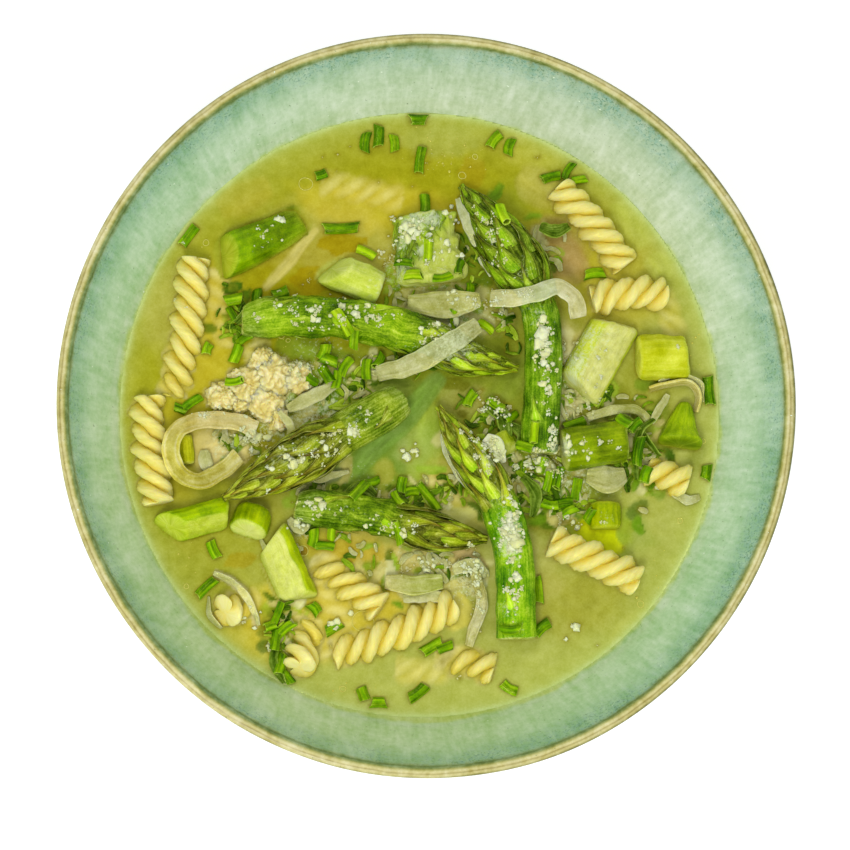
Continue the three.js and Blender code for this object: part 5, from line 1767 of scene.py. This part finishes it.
sunk = []
for seed, (points, turn, radius) in enumerate(sunk_pasta, 80):
    sunk.append(pasta_body(points, turn, seed, 40, 0.7, radius))
for seed, (points, radius, tone) in enumerate(sunk_pieces):
    sunk.append(sunk_body(points, radius, srgb(*tone), seed))
sunk_tones = [(60, 100, 4), (104, 144, 20), (150, 182, 50), (214, 214, 150), (196, 190, 110)]
sunk_draw = np.random.default_rng(47)
for *patch, count in sunk_bits:
    for _ in range(crowding * count):
        first, middle, last = thrown(sunk_draw, *patch, 1.6, 5, 0.4)
        drop = -sunk_draw.uniform(0.4, 2.6)
        points = [(*first, drop - 0.6), (*middle, drop), (*last, drop - 0.6)]
        tone = srgb(*sunk_tones[sunk_draw.integers(0, len(sunk_tones))])
        reach, seed = sunk_draw.uniform(0.7, 2.2), sunk_draw.integers(100, 900)
        sunk.append(sunk_body(points, reach, tone, seed, 12))
sunk_surface, sunk_colours = painted_surface(sunk + dipped)

# each place on the top is looked through a few times, the wider apart the deeper it is there
glance_count = 5
glances = np.random.default_rng(31).normal(0, 1, (glance_count, 2))
seen = np.zeros((len(x), 3))
for k in range(len(x)):
    spread = 0.0
    for g in range(glance_count):
        start = Vector((x[k] + glances[g, 0] * spread, y[k] + glances[g, 1] * spread, broth_level + 0.01))
        _, slant, face, depth = sunk_surface.ray_cast(start, down, deepest)
        if g == 0:
            spread = 0.6 if face is None else 0.1 + 0.16 * depth
        if face is None:
            seen[k] += own[k] / glance_count
            continue
        clear = math.exp(-max(0.0, depth - 0.2) / see_through)
        # painted shade: sunk faces that turn away from above are painted darker
        facing = 0.55 + 0.45 * abs(slant[2]) ** 1.3
        stained = sunk_colours[face] * stain**depth
        seen[k] += (own[k] * (1 - clear) + stained * facing * clear) / glance_count

# towards the wall the broth thins to a pale edge, and it is painted darker where it touches a piece: painted
# contact shade
bearing = np.arctan2(y, x)
out = np.hypot(x, y) / oval(bearing)
from_edge = broth_radius - out + 0.35 * unevenness(flat, 7, 8) + 0.2 * unevenness(flat, 2.4, 9)
upper_left = np.maximum(0, np.cos(bearing - math.radians(130)))
left = np.maximum(0, -x / broth_radius)
edge_share = (0.7 - 0.4 * left**2) * np.exp(-np.clip(from_edge, 0, None) / (4.2 + 2.4 * upper_left))
seen = blend(seen, edge_tone, edge_share)
seen = blend(seen, wall_tone, 0.85 * np.exp(-np.clip(from_edge, 0, None) / 0.8))
shown_surface = resting_surface(pieces)
touch = np.zeros(len(x))
for k in range(len(x)):
    near = shown_surface.find_nearest(Vector((x[k], y[k], broth_level)), 3.0)
    if near[0] is not None:
        touch[k] = math.exp(-near[3] / creep_reach)
seen = blend(seen, contact_shade_gold, 0.68 * touch**1.3)
level = broth_level + wall_creep * np.exp(-np.clip(from_edge + 0.4, 0, None) / 1.0) + creep_height * touch
top = np.stack([x, y, level], 1)

# the broth's side follows the wall of the bowl down to the floor
edge_use = np.sort(np.stack([top_faces, np.roll(top_faces, -1, 1)], -1).reshape(-1, 2), 1)
edges, uses = np.unique(edge_use, axis=0, return_counts=True)
border = np.unique(edges[uses == 1])
border = border[np.argsort(bearing[border])]
wall = inside_profile(40)
wall = wall[wall[:, 1] < broth_level - 1.5][::-4]
rings = []
for radius, drop in wall:
    share = (radius - 0.3) / (broth_radius + broth_overlap)
    rings.append(np.stack([x[border] * share, y[border] * share, np.full(len(border), drop + 0.3)], 1))
rings.append(np.stack([x[border] * 0.1, y[border] * 0.1, np.full(len(border), floor_height)], 1))
start = len(x)
ring_faces = grid_faces(len(rings), len(border)) + start
beside = (np.arange(len(border)) + 1) % len(border)
join = np.stack([border, start + np.arange(len(border)), start + beside, border[beside]], 1)
bottom = (start + (len(rings) - 1) * len(border) + np.arange(len(border)))[::-1][None]
side_tint = np.broadcast_to(golden, (len(rings) * len(border), 3))
curdled = np.zeros(len(x))
for middle_x, middle_y, reach, amount in curds_afloat:
    curdled += amount * np.exp(-((x - middle_x) ** 2 + (y - middle_y) ** 2) / reach**2)
broth_body = dict(
    points=np.vstack([top, *rings]),
    faces=[top_faces, join, ring_faces[:, ::-1], bottom],
    tint=np.vstack([seen, side_tint]),
    cheese=np.append(np.minimum(curdled, 0.7), np.zeros(len(side_tint))),
)
clear_broth = boiled("clear_broth", roughness=0.15, mottle=0.1, speck=0.08, shine=0.2, relief=0.04)
piece("clear_broth", [broth_body], clear_broth, ["broth"])

# The bubbles are air that was stirred in as the broth was ladled, and the rings are the raised
# edges of flat drops of fat. Both float on it, and most are small and close to the wall.
bubble_tone = srgb(196, 190, 84)
ring_tone = srgb(206, 202, 100)
ring_thickness = 0.11
fat_rings = [
    (-36, 69, 2), (-18, -64, 3.2), (-36, -43, 1.5), (78.5, -32.5, 0.8), (-70.6, -54, 0.7),
    (-43, 22, 0.9), (-41, 20.6, 0.6), (12, 73, 1.1), (16, 79, 0.8), (66, -58, 1.0), (-66, 50, 0.9),
    (62, 74, 0.8), (-24, -84, 0.9), (86, -8, 0.7),
]


def fat_ring(x, y, radius, seed):
    """The raised edge of a flat drop of fat."""
    rows, sides = 36, 8
    turn, angle = np.meshgrid(np.linspace(0, 2 * np.pi, rows), round_about(sides), indexing="ij")
    radius = radius * (1 + 0.05 * np.cos(2 * turn + seed) + 0.03 * np.cos(3 * turn + 2 * seed))
    reach = radius + ring_thickness * np.cos(angle)
    height = broth_level + 0.1 + ring_thickness * np.sin(angle)
    points = np.stack([x + reach * np.cos(turn), y + reach * np.sin(turn), height], -1).reshape(-1, 3)
    return dict(points=points, faces=[grid_faces(rows, sides)[:, ::-1]], tint=ring_tone)


def bubble(x, y, radius):
    """A small dome of air, a little flatter than round."""
    rows, sides = 7, 12
    dome = unit_ball(-1.2, 1.52, rows, round_about(sides))
    points = dome * (radius, radius, 0.7 * radius) + (x, y, broth_level)
    return dict(points=points, faces=skin_faces(rows, sides), tint=bubble_tone)


bubbles = [fat_ring(x, y, radius, seed) for seed, (x, y, radius) in enumerate(fat_rings)]
# where bubbles gather: middle, reach each way and number
bubble_places = [
    (8, 80, 12, 8, 60),
    (-44, 22, 4, 3, 22),
    (-70, 42, 6, 10, 16),
    (74, -50, 7, 9, 18),
    (-20, -84, 16, 3, 18),
    (-72, -42, 6, 10, 14),
    (84, 22, 3, 12, 12),
]
bubble_draw = np.random.default_rng(5)
for middle_x, middle_y, half_x, half_y, count in bubble_places:
    for _ in range(count):
        x = middle_x + bubble_draw.normal(0, 0.5) * half_x
        y = middle_y + bubble_draw.normal(0, 0.5) * half_y
        radius = float(np.clip(0.16 * math.exp(bubble_draw.normal(0, 0.5)), 0.1, 0.45))
        if math.hypot(x, y) < broth_radius - 2 and height_at(resting, x, y) <= broth_level:
            bubbles.append(bubble(x, y, radius))
thin_bubble = boiled("thin_bubble", roughness=0.1, mottle=0.05, speck=0.05, shine=0.5, relief=0.05)
piece("bubbles_and_fat_rings", bubbles, thin_bubble)
